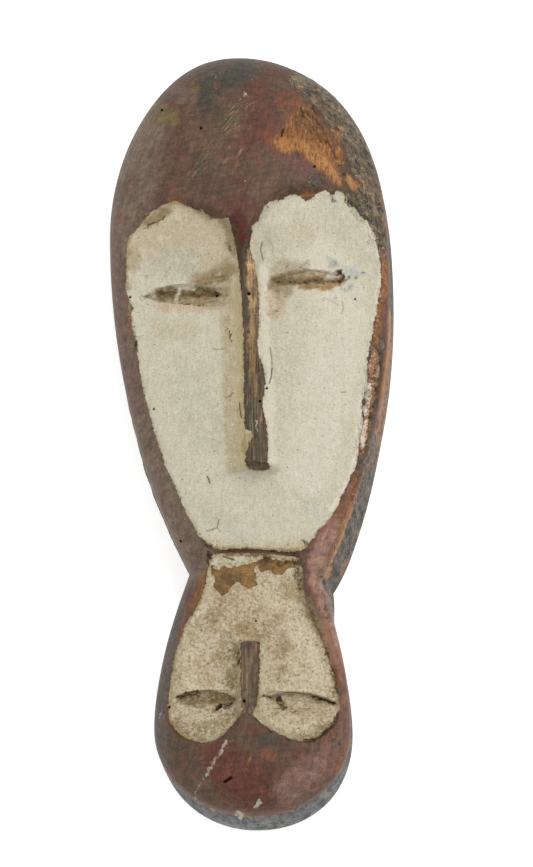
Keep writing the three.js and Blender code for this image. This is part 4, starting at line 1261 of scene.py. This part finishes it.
def paintFields(piece):
    mesh = piece.data
    points = readPoints(mesh) / mm
    part = np.full(len(points), -1.0)
    part[:blockPoints] = ring
    front = part == 0
    x, y = toPhoto(points)
    x[:blockPoints] = np.where(ring == 0, px, x[:blockPoints])
    y[:blockPoints] = np.where(ring == 0, py, y[:blockPoints])
    storeField(mesh, "chalk", np.clip(chalkInside(x, y), -fieldReach, fieldReach))
    storeField(mesh, "crack", crackField(x, y))
    holeShade = np.zeros(len(points))
    soft = beetleHoles["darkEdge"]
    for spotX, spotY, radius, dark in beetleHoles["spots"]:
        away = np.hypot(x - spotX, y - spotY)
        holeShade = np.maximum(holeShade, dark * smooth(radius + soft, radius - soft, away))
    for name in dentEdge["shaded"]:
        away = lineDistance(np.array(dents[name]["line"], float), x, y)
        width = dents[name]["width"]
        near = smooth(width + dentEdge["darkOut"], width - dentEdge["darkIn"], away)
        holeShade = np.maximum(holeShade, dentEdge["dark"] * near)
    storeField(mesh, "holeShade", holeShade)
    fade = 1 + ragged["fade"] * noiseOn(points + 71, 2.6)
    x = x + ragged["fine"] * noiseOn(points, 1.3) + ragged["broad"] * noiseOn(points + 43, 4.5)
    y = y + ragged["fine"] * noiseOn(points + 17, 1.3) + ragged["broad"] * noiseOn(points + 29, 4.5)
    stain = insideDistance(curveThrough(stainOutline, 3, True), x, y)
    storeField(mesh, "stain", np.clip(stain, -fieldReach, fieldReach))
    for name in ("grimeAndShade", "white", "rough", "scratch", "streak", "crust"):
        storeField(mesh, name, strokeField(marks[name], x, y) * fade)
    patch = smooth(-7.0, 6.0, insideDistance(curveThrough(bareOutline, 3, True), x, y))
    patch = patch * (1 - strokeField(marks["covered"], x, y))
    storeField(mesh, "bare", np.maximum(strokeField(marks["bare"], x, y) * fade, patch))
    smudgeAndShade = strokeField(marks["smudgeAndShade"], x, y) * (1 - strokeField(marks["clean"], x, y))
    storeField(mesh, "smudgeAndShade", smudgeAndShade * fade)
    paint = strokeColours(np.tile(seen(colours["redBrown"]), (len(points), 1)), tones["paint"], x, y)
    wall = strokeColours(np.tile(seen(colours["wallDark"]), (len(points), 1)), tones["wall"], x, y)
    storeColour(mesh, "tone", np.where(front[:, None], paint, wall))
    wood = np.tile(seen(colours["bareBase"]), (len(points), 1))
    storeColour(mesh, "woodTone", strokeColours(wood, tones["wood"], x, y))
    small = smooth(*headJoin, points[:, 1])
    start = mix(seen(colours["chalk"]), seen(colours["smallChalk"]), small[:, None])
    storeColour(mesh, "chalkTone", strokeColours(start, tones["chalk"], x, y))
    storeField(mesh, "wall", np.clip(part / block["wallRings"], -1, 1))
    storeField(mesh, "smallHead", small)


paintFields(mask)
print("fields painted")


# Materials
def newMaterial(name):
    material = bpy.data.materials.new(name)
    material.use_nodes = True
    tree = material.node_tree
    tree.nodes.clear()
    return material, tree


def addNode(tree, kind, inputs=None, **settings):
    node = tree.nodes.new("ShaderNode" + kind)
    for key, value in settings.items():
        setattr(node, key, value)
    for key, value in (inputs or {}).items():
        if isinstance(value, bpy.types.NodeSocket):
            tree.links.new(value, node.inputs[key])
        else:
            node.inputs[key].default_value = value
    return node


class Shading:  # short words for the nodes that every finish here uses
    def __init__(self, tree):
        self.tree = tree
        self.place = addNode(tree, "TexCoord").outputs["Object"]

    def field(self, name):
        return addNode(self.tree, "Attribute", attribute_name=name).outputs["Fac"]

    def colourField(self, name):
        return addNode(self.tree, "Attribute", attribute_name=name).outputs["Color"]

    def sum(self, a, b):
        return addNode(self.tree, "Math", {0: a, 1: b}, operation="ADD").outputs[0]

    def times(self, a, b):
        return addNode(self.tree, "Math", {0: a, 1: b}, operation="MULTIPLY").outputs[0]

    def larger(self, a, b):
        return addNode(self.tree, "Math", {0: a, 1: b}, operation="MAXIMUM").outputs[0]

    def less(self, a, b):
        return addNode(self.tree, "Math", {0: a, 1: b}, operation="SUBTRACT").outputs[0]

    def swing(self, value, reach):  # a noise's value, moved to wander about zero
        return self.times(self.less(value, 0.5), reach)

    def step(self, value, low, high, to=(0.0, 1.0)):
        node = addNode(self.tree, "MapRange", {"Value": value, "From Min": low, "From Max": high,
                                               "To Min": to[0], "To Max": to[1]},
                       interpolation_type="SMOOTHSTEP")
        return node.outputs["Result"]

    def scaled(self, stretch, turn=0.0):
        place = self.place
        if turn:
            turned = addNode(self.tree, "Mapping", {"Vector": place, "Rotation": (0, 0, turn)})
            place = turned.outputs["Vector"]
        return addNode(self.tree, "Mapping", {"Vector": place, "Scale": stretch}).outputs["Vector"]

    # a noise's size is in millimetres
    def noise(self, size, detail=4.0, rough=0.55, stretch=(1, 1, 1), warp=0.0, turn=0.0):
        node = addNode(self.tree, "TexNoise", {"Vector": self.scaled(stretch, turn), "Scale": 1 / (size * mm),
                                               "Detail": detail, "Roughness": rough, "Distortion": warp})
        return node.outputs["Fac"]

    def hairlines(self, size, width, share):  # short curved cracks, where a noise lets them show
        bent = addNode(self.tree, "TexNoise", {"Vector": self.place, "Scale": 1 / (size * mm), "Detail": 3.0})
        moved = addNode(self.tree, "VectorMath", {0: bent.outputs["Color"], 3: size * mm * 1.6},
                        operation="SCALE")
        place = addNode(self.tree, "VectorMath", {0: self.place, 1: moved.outputs[0]}, operation="ADD")
        cell = addNode(self.tree, "TexVoronoi", {"Vector": place.outputs[0], "Scale": 1 / (size * 1.4 * mm)},
                       feature="DISTANCE_TO_EDGE")
        line = self.step(cell.outputs["Distance"], width, 0.0)
        return self.times(line, self.step(self.noise(size * 1.1, 2.0, 0.5), 1 - share, 1.06 - share))

    def over(self, under, top, cover, how="MIX"):
        node = addNode(self.tree, "Mix", data_type="RGBA", blend_type=how)
        for socket, value in ((node.inputs[0], cover), (node.inputs[6], under), (node.inputs[7], top)):
            if isinstance(value, bpy.types.NodeSocket):
                self.tree.links.new(value, socket)
            elif isinstance(value, (int, float)):
                socket.default_value = value
            else:
                socket.default_value = (*value, 1)
        return node.outputs[2]

    def level(self, a, b, t):
        return addNode(self.tree, "Mix", {0: t, 2: a, 3: b}, data_type="FLOAT").outputs[0]

    def rub(self, colour, value, spread):  # darker and lighter by a noise
        grey = self.step(value, 0.28, 0.72, (0.5 - spread, 0.5 + spread))
        shade = addNode(self.tree, "CombineColor", {0: grey, 1: grey, 2: grey})
        return self.over(colour, shade.outputs[0], 1.0, "OVERLAY")

    def finish(self, colour, roughness, height, strength=1.0):
        bump = addNode(self.tree, "Bump", {"Height": height, "Distance": mm, "Strength": strength})
        shader = addNode(self.tree, "BsdfPrincipled", {"Base Color": colour, "Roughness": roughness,
                                                       "Normal": bump.outputs[0], "Specular IOR Level": 0.35})
        out = addNode(self.tree, "OutputMaterial")
        self.tree.links.new(shader.outputs[0], out.inputs[0])


def tint(*colour):  # a picture colour as a surface colour
    return tuple(float(c) for c in seen(colour))


def bareWood(s, grain, fine):
    wood = s.colourField("woodTone")
    wood = s.over(wood, tint(196, 150, 108), s.step(grain, 0.52, 0.66, (0, 0.5)))
    wood = s.over(wood, tint(104, 70, 48), s.step(grain, 0.46, 0.34, (0, 0.55)))
    pores = s.noise(0.8, 3.0, 0.6, stretch=(1, 0.35, 1))
    wood = s.over(wood, tint(78, 58, 44), s.step(pores, 0.56, 0.68, (0, 0.7)))
    return s.rub(wood, fine, 0.12)


def paintMaterial():
    material, tree = newMaterial("wornPaintAndChalk")
    s = Shading(tree)
    fine = s.noise(0.42, 2.0, 0.6)
    small = s.noise(1.0, 4.0, 0.65)
    mid = s.noise(2.4, 5.0, 0.6)
    grain = s.noise(0.7, 4.0, 0.6, stretch=(1, 0.16, 1))
    across = s.noise(0.8, 3.0, 0.6, stretch=(0.2, 1, 1))

    # red-brown paint in broad soft patches, rubbed and finely scratched
    red = s.colourField("tone")
    red = s.over(red, tint(84, 78, 62), s.step(s.noise(7.0, 4.0, 0.6), 0.5, 0.7, (0, 0.4)))
    red = s.over(red, tint(118, 72, 62), s.step(s.noise(5.5, 4.0, 0.6, warp=0.4), 0.52, 0.72, (0, 0.35)))
    red = s.over(red, tint(132, 116, 102), s.step(s.noise(5.0, 5.0, 0.66, warp=0.3), 0.56, 0.74, (0, 0.35)))
    level = s.noise(1.0, 4.0, 0.6, stretch=(0.12, 1, 1), turn=math.radians(-6))
    wiped = s.noise(1.3, 4.0, 0.6, stretch=(1, 0.1, 1), turn=math.radians(18))
    red = s.rub(s.rub(s.rub(red, mid, 0.11), small, 0.08), fine, 0.08)
    red = s.rub(s.rub(s.rub(red, grain, 0.06), level, 0.09), wiped, 0.09)
    red = s.over(red, tint(156, 134, 98), s.step(fine, 0.67, 0.78, (0, 0.45)))
    red = s.over(red, tint(48, 40, 34), s.step(fine, 0.33, 0.24, (0, 0.5)))
    scratches = s.step(s.noise(0.45, 2.0, 0.5, stretch=(1, 0.045, 1), turn=math.radians(40)), 0.56, 0.68)
    scratchCover = s.times(scratches, s.step(s.sum(s.field("scratch"), s.less(mid, 0.5)), 0.3, 0.8))
    red = s.over(red, tint(150, 140, 100), s.times(scratchCover, 0.8))
    hairs = s.step(s.noise(0.4, 2.0, 0.5, stretch=(1, 0.03, 1), turn=math.radians(-14)), 0.64, 0.72)
    red = s.over(red, tint(150, 124, 104), s.times(hairs, s.step(mid, 0.5, 0.6, (0, 0.4))))
    fibres = s.noise(0.55, 4.0, 0.6, stretch=(1, 0.05, 1))
    streaky = s.over(red, tint(56, 53, 46), s.step(fibres, 0.5, 0.38, (0, 0.9)))
    streaky = s.over(streaky, tint(176, 142, 102), s.step(fibres, 0.54, 0.66, (0, 0.7)))
    red = s.over(red, streaky, s.times(s.field("streak"), 0.75))

    # the rough strip: dark crust, lumpy and speckled
    crust = s.noise(1.9, 5.0, 0.75, stretch=(1, 0.6, 1), turn=math.radians(-27))
    roughCover = s.step(s.sum(s.field("rough"), s.swing(small, 2.0)), 0.3, 0.75)
    rough = s.over(tint(96, 88, 74), tint(142, 126, 100), s.step(crust, 0.5, 0.62))
    rough = s.over(rough, tint(44, 42, 36), s.step(crust, 0.46, 0.38))
    rough = s.over(rough, tint(112, 110, 102), s.step(mid, 0.54, 0.66, (0, 0.45)))
    red = s.over(red, rough, s.times(roughCover, 0.85))

    # bare wood where the paint has gone
    bareField = s.sum(s.field("bare"), s.swing(small, 0.9))
    bareField = s.sum(bareField, s.swing(grain, 0.8))
    red = s.over(red, tint(124, 80, 60), s.step(bareField, 0.0, 0.5, (0, 0.55)))
    bareCover = s.step(bareField, 0.2, 0.9)
    red = s.over(red, bareWood(s, grain, fine), s.times(bareCover, 0.92))
    flecks = s.noise(1.7, 4.0, 0.7, stretch=(1, 0.5, 1), turn=math.radians(-27))
    red = s.over(red, tint(50, 44, 36), s.times(roughCover, s.step(flecks, 0.46, 0.38, (0, 0.8))))
    red = s.over(red, tint(172, 128, 84), s.times(roughCover, s.step(flecks, 0.58, 0.65, (0, 0.9))))
    red = s.over(red, tint(200, 184, 152), s.times(roughCover, s.step(fine, 0.63, 0.7, (0, 0.8))))
    whiteField = s.sum(s.field("white"), s.swing(fine, 1.3))
    red = s.over(red, tint(182, 174, 160), s.step(whiteField, 0.3, 0.85, (0, 0.9)))

    # chalk, thicker in places and rubbed thin in others
    smallHead = s.field("smallHead")
    brush = s.noise(0.8, 4.0, 0.6, stretch=(1, 0.2, 1))
    dab = s.noise(3.6, 5.0, 0.62)
    chalk = s.colourField("chalkTone")
    chalk = s.over(chalk, tint(182, 168, 138), s.step(dab, 0.54, 0.74, (0, 0.3)))
    chalk = s.over(chalk, tint(216, 207, 190), s.step(s.noise(4.2, 4.0, 0.62, warp=0.3), 0.52, 0.7, (0, 0.4)))
    chalk = s.rub(s.rub(s.rub(chalk, brush, 0.035), fine, 0.07), small, 0.055)
    lime = s.noise(1.9, 5.0, 0.7, stretch=(1, 0.7, 1))
    chalk = s.over(chalk, tint(218, 212, 196), s.step(lime, 0.54, 0.66, (0, 0.35)))
    murk = s.times(smallHead, s.step(s.noise(4.6, 5.0, 0.7, warp=0.5), 0.5, 0.68, (0, 0.42)))
    chalk = s.over(chalk, tint(146, 125, 88), murk)
    pale = s.times(smallHead, s.step(s.noise(3.6, 5.0, 0.68, warp=0.4), 0.52, 0.62, (0, 0.6)))
    chalk = s.over(chalk, tint(206, 194, 166), pale)
    speck = s.noise(0.5, 3.0, 0.6)
    dust = s.sum(s.swing(mid, 0.35), speck)
    chalk = s.over(chalk, tint(132, 110, 74), s.times(smallHead, s.step(dust, 0.48, 0.7, (0, 0.35))))
    thread = s.noise(0.9, 5.0, 0.78, warp=0.25)
    chalk = s.over(chalk, tint(116, 95, 62), s.times(smallHead, s.step(thread, 0.51, 0.64, (0, 0.65))))
    chalk = s.over(chalk, tint(222, 211, 184), s.times(smallHead, s.step(thread, 0.49, 0.37, (0, 0.6))))
    chalk = s.over(chalk, tint(116, 96, 64), s.times(s.step(speck, 0.66, 0.73), 0.3))
    hair = s.hairlines(2.4, 0.035, 0.3)
    chalk = s.over(chalk, tint(136, 120, 88), s.times(hair, 0.4))
    chalkPaint = s.sum(s.field("chalk"), s.swing(small, 6.0))
    chalkCover = s.step(chalkPaint, -0.2, 0.5)
    edgeDirt = s.step(smallHead, 0.0, 1.0, (0.5, 0.85))
    fringe = s.times(s.step(chalkPaint, 4.0, 0.4), edgeDirt)
    fringe = s.times(fringe, s.step(s.noise(2.6, 5.0, 0.7), 0.42, 0.6))
    chalk = s.over(chalk, tint(156, 134, 94), fringe)

    # dirt rubbed into the chalk, thin and brown first, then dark, with painted shade beside the noses and
    # under the tall nose's tip
    smudgeAndShade = s.sum(s.field("smudgeAndShade"), s.swing(small, 1.7))
    smudgeAndShade = s.sum(smudgeAndShade, s.swing(across, 0.8))
    chalk = s.over(chalk, tint(142, 122, 86), s.step(smudgeAndShade, 0.15, 0.9, (0, 0.7)))
    chalk = s.over(chalk, tint(90, 80, 58), s.step(smudgeAndShade, 0.55, 1.15, (0, 0.85)))
    stainField = s.sum(s.field("stain"), s.swing(s.noise(1.6, 4.0, 0.6), 4.0))
    stain = s.over(tint(146, 112, 68), tint(98, 78, 50), s.step(s.noise(3.8, 4.0, 0.6), 0.38, 0.64))
    stain = s.over(stain, tint(84, 62, 40), s.step(stainField, 2.4, 0.4, (0, 0.6)))
    stain = s.over(stain, tint(178, 156, 112), s.step(small, 0.6, 0.72, (0, 0.6)))
    chalk = s.over(chalk, s.rub(stain, fine, 0.14), s.step(stainField, -0.4, 0.6, (0, 0.92)))
    chalk = s.over(chalk, tint(202, 197, 182), s.step(whiteField, 0.36, 0.75, (0, 0.9)))
    colour = s.over(red, chalk, chalkCover)

    # the crusty border: bare wood, dark pits and flakes of chalk
    pits = s.noise(0.85, 4.0, 0.72)
    crustField = s.sum(s.field("crust"), s.swing(small, 2.0))
    crustColour = s.over(tint(146, 106, 76), tint(66, 55, 45), s.step(pits, 0.5, 0.41))
    beside = s.times(s.step(s.field("chalk"), -8.0, -0.5, (0, 0.1)), s.field("crust"))
    flakes = s.sum(s.sum(s.noise(0.75, 5.0, 0.85), beside), s.times(s.field("white"), 0.12))
    crustColour = s.over(crustColour, tint(180, 136, 102), s.step(flakes, 0.5, 0.6, (0, 0.75)))
    crustColour = s.over(crustColour, tint(224, 208, 192), s.step(flakes, 0.58, 0.66, (0, 0.95)))
    colour = s.over(colour, crustColour, s.step(crustField, 0.4, 0.8, (0, 0.92)))

    # grime and painted shade in the edges, dirt and painted shadow in the cracks, and painted shade in the
    # beetle holes
    grimeAndShade = s.sum(s.field("grimeAndShade"), s.swing(small, 2.0))
    colour = s.over(colour, tint(100, 82, 58), s.step(grimeAndShade, 0.12, 0.6, (0, 0.75)))
    colour = s.over(colour, tint(54, 49, 40), s.step(grimeAndShade, 0.4, 0.95, (0, 0.92)))
    # cracks darkened by dirt, and painted shadow where a crack line follows the edge of a lid or a flake
    crackDirtAndShade = s.times(s.step(s.sum(s.field("crack"), s.swing(fine, 0.5)), 0.15, 0.9), 0.8)
    colour = s.over(colour, tint(78, 64, 44), crackDirtAndShade)
    # painted shade, near black, inside the beetle holes and the deep dents
    colour = s.over(colour, (0.004, 0.003, 0.002), s.step(s.field("holeShade"), 0.15, 0.85, (0, 0.97)))

    swirl = s.noise(1.5, 3.0, 0.5, warp=1.6)
    height = s.times(chalkCover, 0.10)
    height = s.sum(height, s.times(s.level(grain, brush, chalkCover), 0.10))
    height = s.sum(height, s.times(fine, 0.04))
    height = s.sum(height, s.times(s.times(swirl, chalkCover), 0.2))
    height = s.sum(height, s.times(small, 0.05))
    height = s.sum(height, s.times(s.times(roughCover, crust), 0.45))
    height = s.less(height, s.times(s.times(hair, chalkCover), 0.12))
    height = s.less(height, s.times(s.times(bareCover, s.less(1.0, chalkCover)), 0.10))
    gloss = s.level(s.step(mid, 0.3, 0.7, (0.52, 0.68)), 0.85, s.larger(chalkCover, bareCover))
    s.finish(colour, gloss, height)
    return material


def wallMaterial():
    material, tree = newMaterial("grimyWall")
    s = Shading(tree)
    fine = s.noise(0.45, 3.0, 0.6)
    small = s.noise(1.1, 4.0, 0.65)
    mid = s.noise(2.6, 5.0, 0.65, stretch=(1, 1, 0.7))
    runs = s.noise(1.2, 4.0, 0.6, stretch=(1, 1, 0.2))
    share = s.field("wall")
    split = addNode(tree, "SeparateXYZ", {0: s.place})
    lengthwise = addNode(tree, "CombineXYZ", {0: s.times(share, 9.0), 1: s.times(split.outputs[0], 70.0),
                                              2: s.times(split.outputs[1], 70.0)})
    rimStreak = addNode(tree, "TexNoise", {"Vector": lengthwise.outputs[0], "Scale": 1.0, "Detail": 5.0,
                                           "Roughness": 0.65}).outputs["Fac"]
    flecks = s.noise(1.0, 4.0, 0.75, stretch=(1, 1, 0.25))
    mottle = s.noise(2.2, 4.0, 0.65, stretch=(1, 1, 0.3))
    colour = s.colourField("tone")
    colour = s.over(colour, tint(60, 56, 50), s.step(rimStreak, 0.5, 0.38, (0, 0.4)))
    colour = s.over(colour, tint(126, 120, 106), s.step(rimStreak, 0.54, 0.68, (0, 0.3)))
    crumbs = s.step(s.field("smallHead"), 0.0, 1.0, (0.8, 0.25))
    colour = s.over(colour, tint(50, 47, 41), s.step(mottle, 0.51, 0.4, (0, 0.75)))
    colour = s.over(colour, tint(142, 130, 108), s.step(mottle, 0.53, 0.67, (0, 0.5)))
    colour = s.over(colour, tint(34, 32, 29), s.times(s.step(flecks, 0.48, 0.4), crumbs))
    colour = s.over(colour, tint(170, 136, 98), s.times(s.step(flecks, 0.56, 0.65), crumbs))
    colour = s.rub(s.rub(colour, small, 0.08), fine, 0.1)
    edgeWear = s.times(s.field("bare"), s.step(share, 0.55, 0.1))
    worn = s.sum(s.sum(s.step(share, 0.14, 0.0, (0, 0.5)), edgeWear), s.swing(small, 1.0))
    colour = s.over(colour, bareWood(s, runs, fine), s.step(worn, 0.4, 0.75, (0, 0.88)))
    foot = s.sum(s.step(share, 0.9, 1.0, (0, 0.55)), s.swing(small, 1.5))
    colour = s.over(colour, tint(128, 98, 68), s.step(foot, 0.5, 0.85, (0, 0.6)))
    white = s.sum(s.field("white"), s.swing(fine, 0.8))
    colour = s.over(colour, tint(176, 170, 156), s.step(white, 0.36, 0.75, (0, 0.9)))
    # the same lines of dirt and painted shade, carried onto the walls
    grimeAndShade = s.sum(s.field("grimeAndShade"), s.swing(small, 1.0))
    colour = s.over(colour, tint(42, 38, 32), s.step(grimeAndShade, 0.3, 0.8, (0, 0.9)))
    height = s.sum(s.sum(s.times(rimStreak, 0.3), s.times(fine, 0.10)), s.times(flecks, 0.2))
    s.finish(colour, s.step(mid, 0.3, 0.7, (0.55, 0.75)), height)
    return material


def hollowMaterial():
    material, tree = newMaterial("gougedWood")
    s = Shading(tree)
    fine = s.noise(0.5, 3.0, 0.6)
    grain = s.noise(0.7, 5.0, 0.6, stretch=(1, 0.05, 1))
    rings = s.noise(3.0, 4.0, 0.55, stretch=(1, 0.08, 1))
    mid = s.noise(7.0, 5.0, 0.6)
    colour = s.over(tint(132, 100, 70), tint(98, 72, 52), s.step(rings, 0.4, 0.62))
    colour = s.over(colour, tint(156, 122, 88), s.step(grain, 0.52, 0.7, (0, 0.7)))
    colour = s.over(colour, tint(62, 52, 42), s.step(mid, 0.5, 0.72, (0, 0.75)))
    colour = s.rub(colour, fine, 0.12)
    height = s.sum(s.times(grain, 0.14), s.times(fine, 0.05))
    s.finish(colour, s.step(mid, 0.3, 0.7, (0.7, 0.85)), height)
    return material


def assignFinishes(piece):
    mesh = piece.data
    mesh.materials.clear()
    for material in (paintMaterial(), wallMaterial(), hollowMaterial()):
        mesh.materials.append(material)
    wall = np.empty(len(mesh.vertices), np.float32)
    mesh.attributes["wall"].data.foreach_get("value", wall)
    index = []
    for face in mesh.polygons:
        share = [wall[v] for v in face.vertices]
        if min(share) < 0 or (min(share) >= 1 and face.normal.z < -0.5):
            index.append(2)
        else:
            index.append(1 if max(share) > 0 else 0)
    mesh.polygons.foreach_set("material_index", index)


assignFinishes(mask)
makeActive(mask)
bpy.ops.object.shade_smooth_by_angle(angle=math.radians(55))
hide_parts("mask")
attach(mask, "root")
print("mask finished")

# A pale table that glows a little, soft light from the upper right, and the camera
studio = {
    "floor": 3.0, "floorColour": (0.86, 0.86, 0.855), "glow": 0.55,
    "sky": 0.72, "key": 6.2, "keySize": 0.9, "keyPlace": (0.45, 0.45, 1.0),
    "fill": 0.9, "fillSize": 0.8, "fillPlace": (-0.7, -0.3, 0.8),
}


def makeFloor():
    deselectAll()
    bpy.ops.mesh.primitive_plane_add(size=studio["floor"], location=(0, 0, 0))
    floor = bpy.context.active_object
    floor.name = "paleTable"
    material, tree = newMaterial("palePaper")
    s = Shading(tree)
    pale = studio["floorColour"]
    colour = s.over(pale, tuple(c * 0.985 for c in pale), s.step(s.noise(4.0, 4.0, 0.6), 0.4, 0.6))
    bump = addNode(tree, "Bump", {"Height": s.noise(0.8, 3.0, 0.6), "Distance": mm * 0.02})
    shader = addNode(tree, "BsdfPrincipled", {
        "Base Color": colour, "Roughness": 0.9, "Normal": bump.outputs[0],
        "Emission Color": (1, 1, 1, 1), "Emission Strength": studio["glow"],
    })
    out = addNode(tree, "OutputMaterial")
    tree.links.new(shader.outputs[0], out.inputs[0])
    floor.data.materials.append(material)


def areaLight(name, place, size, power):
    bpy.ops.object.light_add(type="AREA", location=place)
    lamp = bpy.context.active_object
    lamp.name = name
    lamp.data.shape = "DISK"
    lamp.data.size = size
    lamp.data.energy = power
    lamp.rotation_euler = (-Vector(place)).to_track_quat("-Z", "Y").to_euler()


makeFloor()
areaLight("keyLight", studio["keyPlace"], studio["keySize"], studio["key"])
areaLight("fillLight", studio["fillPlace"], studio["fillSize"], studio["fill"])
world = bpy.data.worlds.new("studioAir")
world.use_nodes = True
world.node_tree.nodes["Background"].inputs["Color"].default_value = (1, 1, 1, 1)
world.node_tree.nodes["Background"].inputs["Strength"].default_value = studio["sky"]
bpy.context.scene.world = world
bpy.context.scene.view_settings.view_transform = "Standard"


def makeCamera():
    eye, right, up, toward = cameraAxes()
    bpy.ops.object.camera_add(location=tuple(v * mm for v in eye))
    camera = bpy.context.active_object
    camera.name = "photoCamera"
    turn = camera.matrix_world.copy()
    for column, axis in enumerate((right, up, toward)):
        for row in range(3):
            turn[row][column] = axis[row]
    camera.matrix_world = turn
    camera.data.sensor_fit = "VERTICAL"
    camera.data.sensor_height = shot["sensor"]
    camera.data.lens = shot["focal"] / shot["height"] * shot["sensor"]
    camera.data.clip_start = 0.01
    bpy.context.scene.camera = camera


makeCamera()
print("studio set")
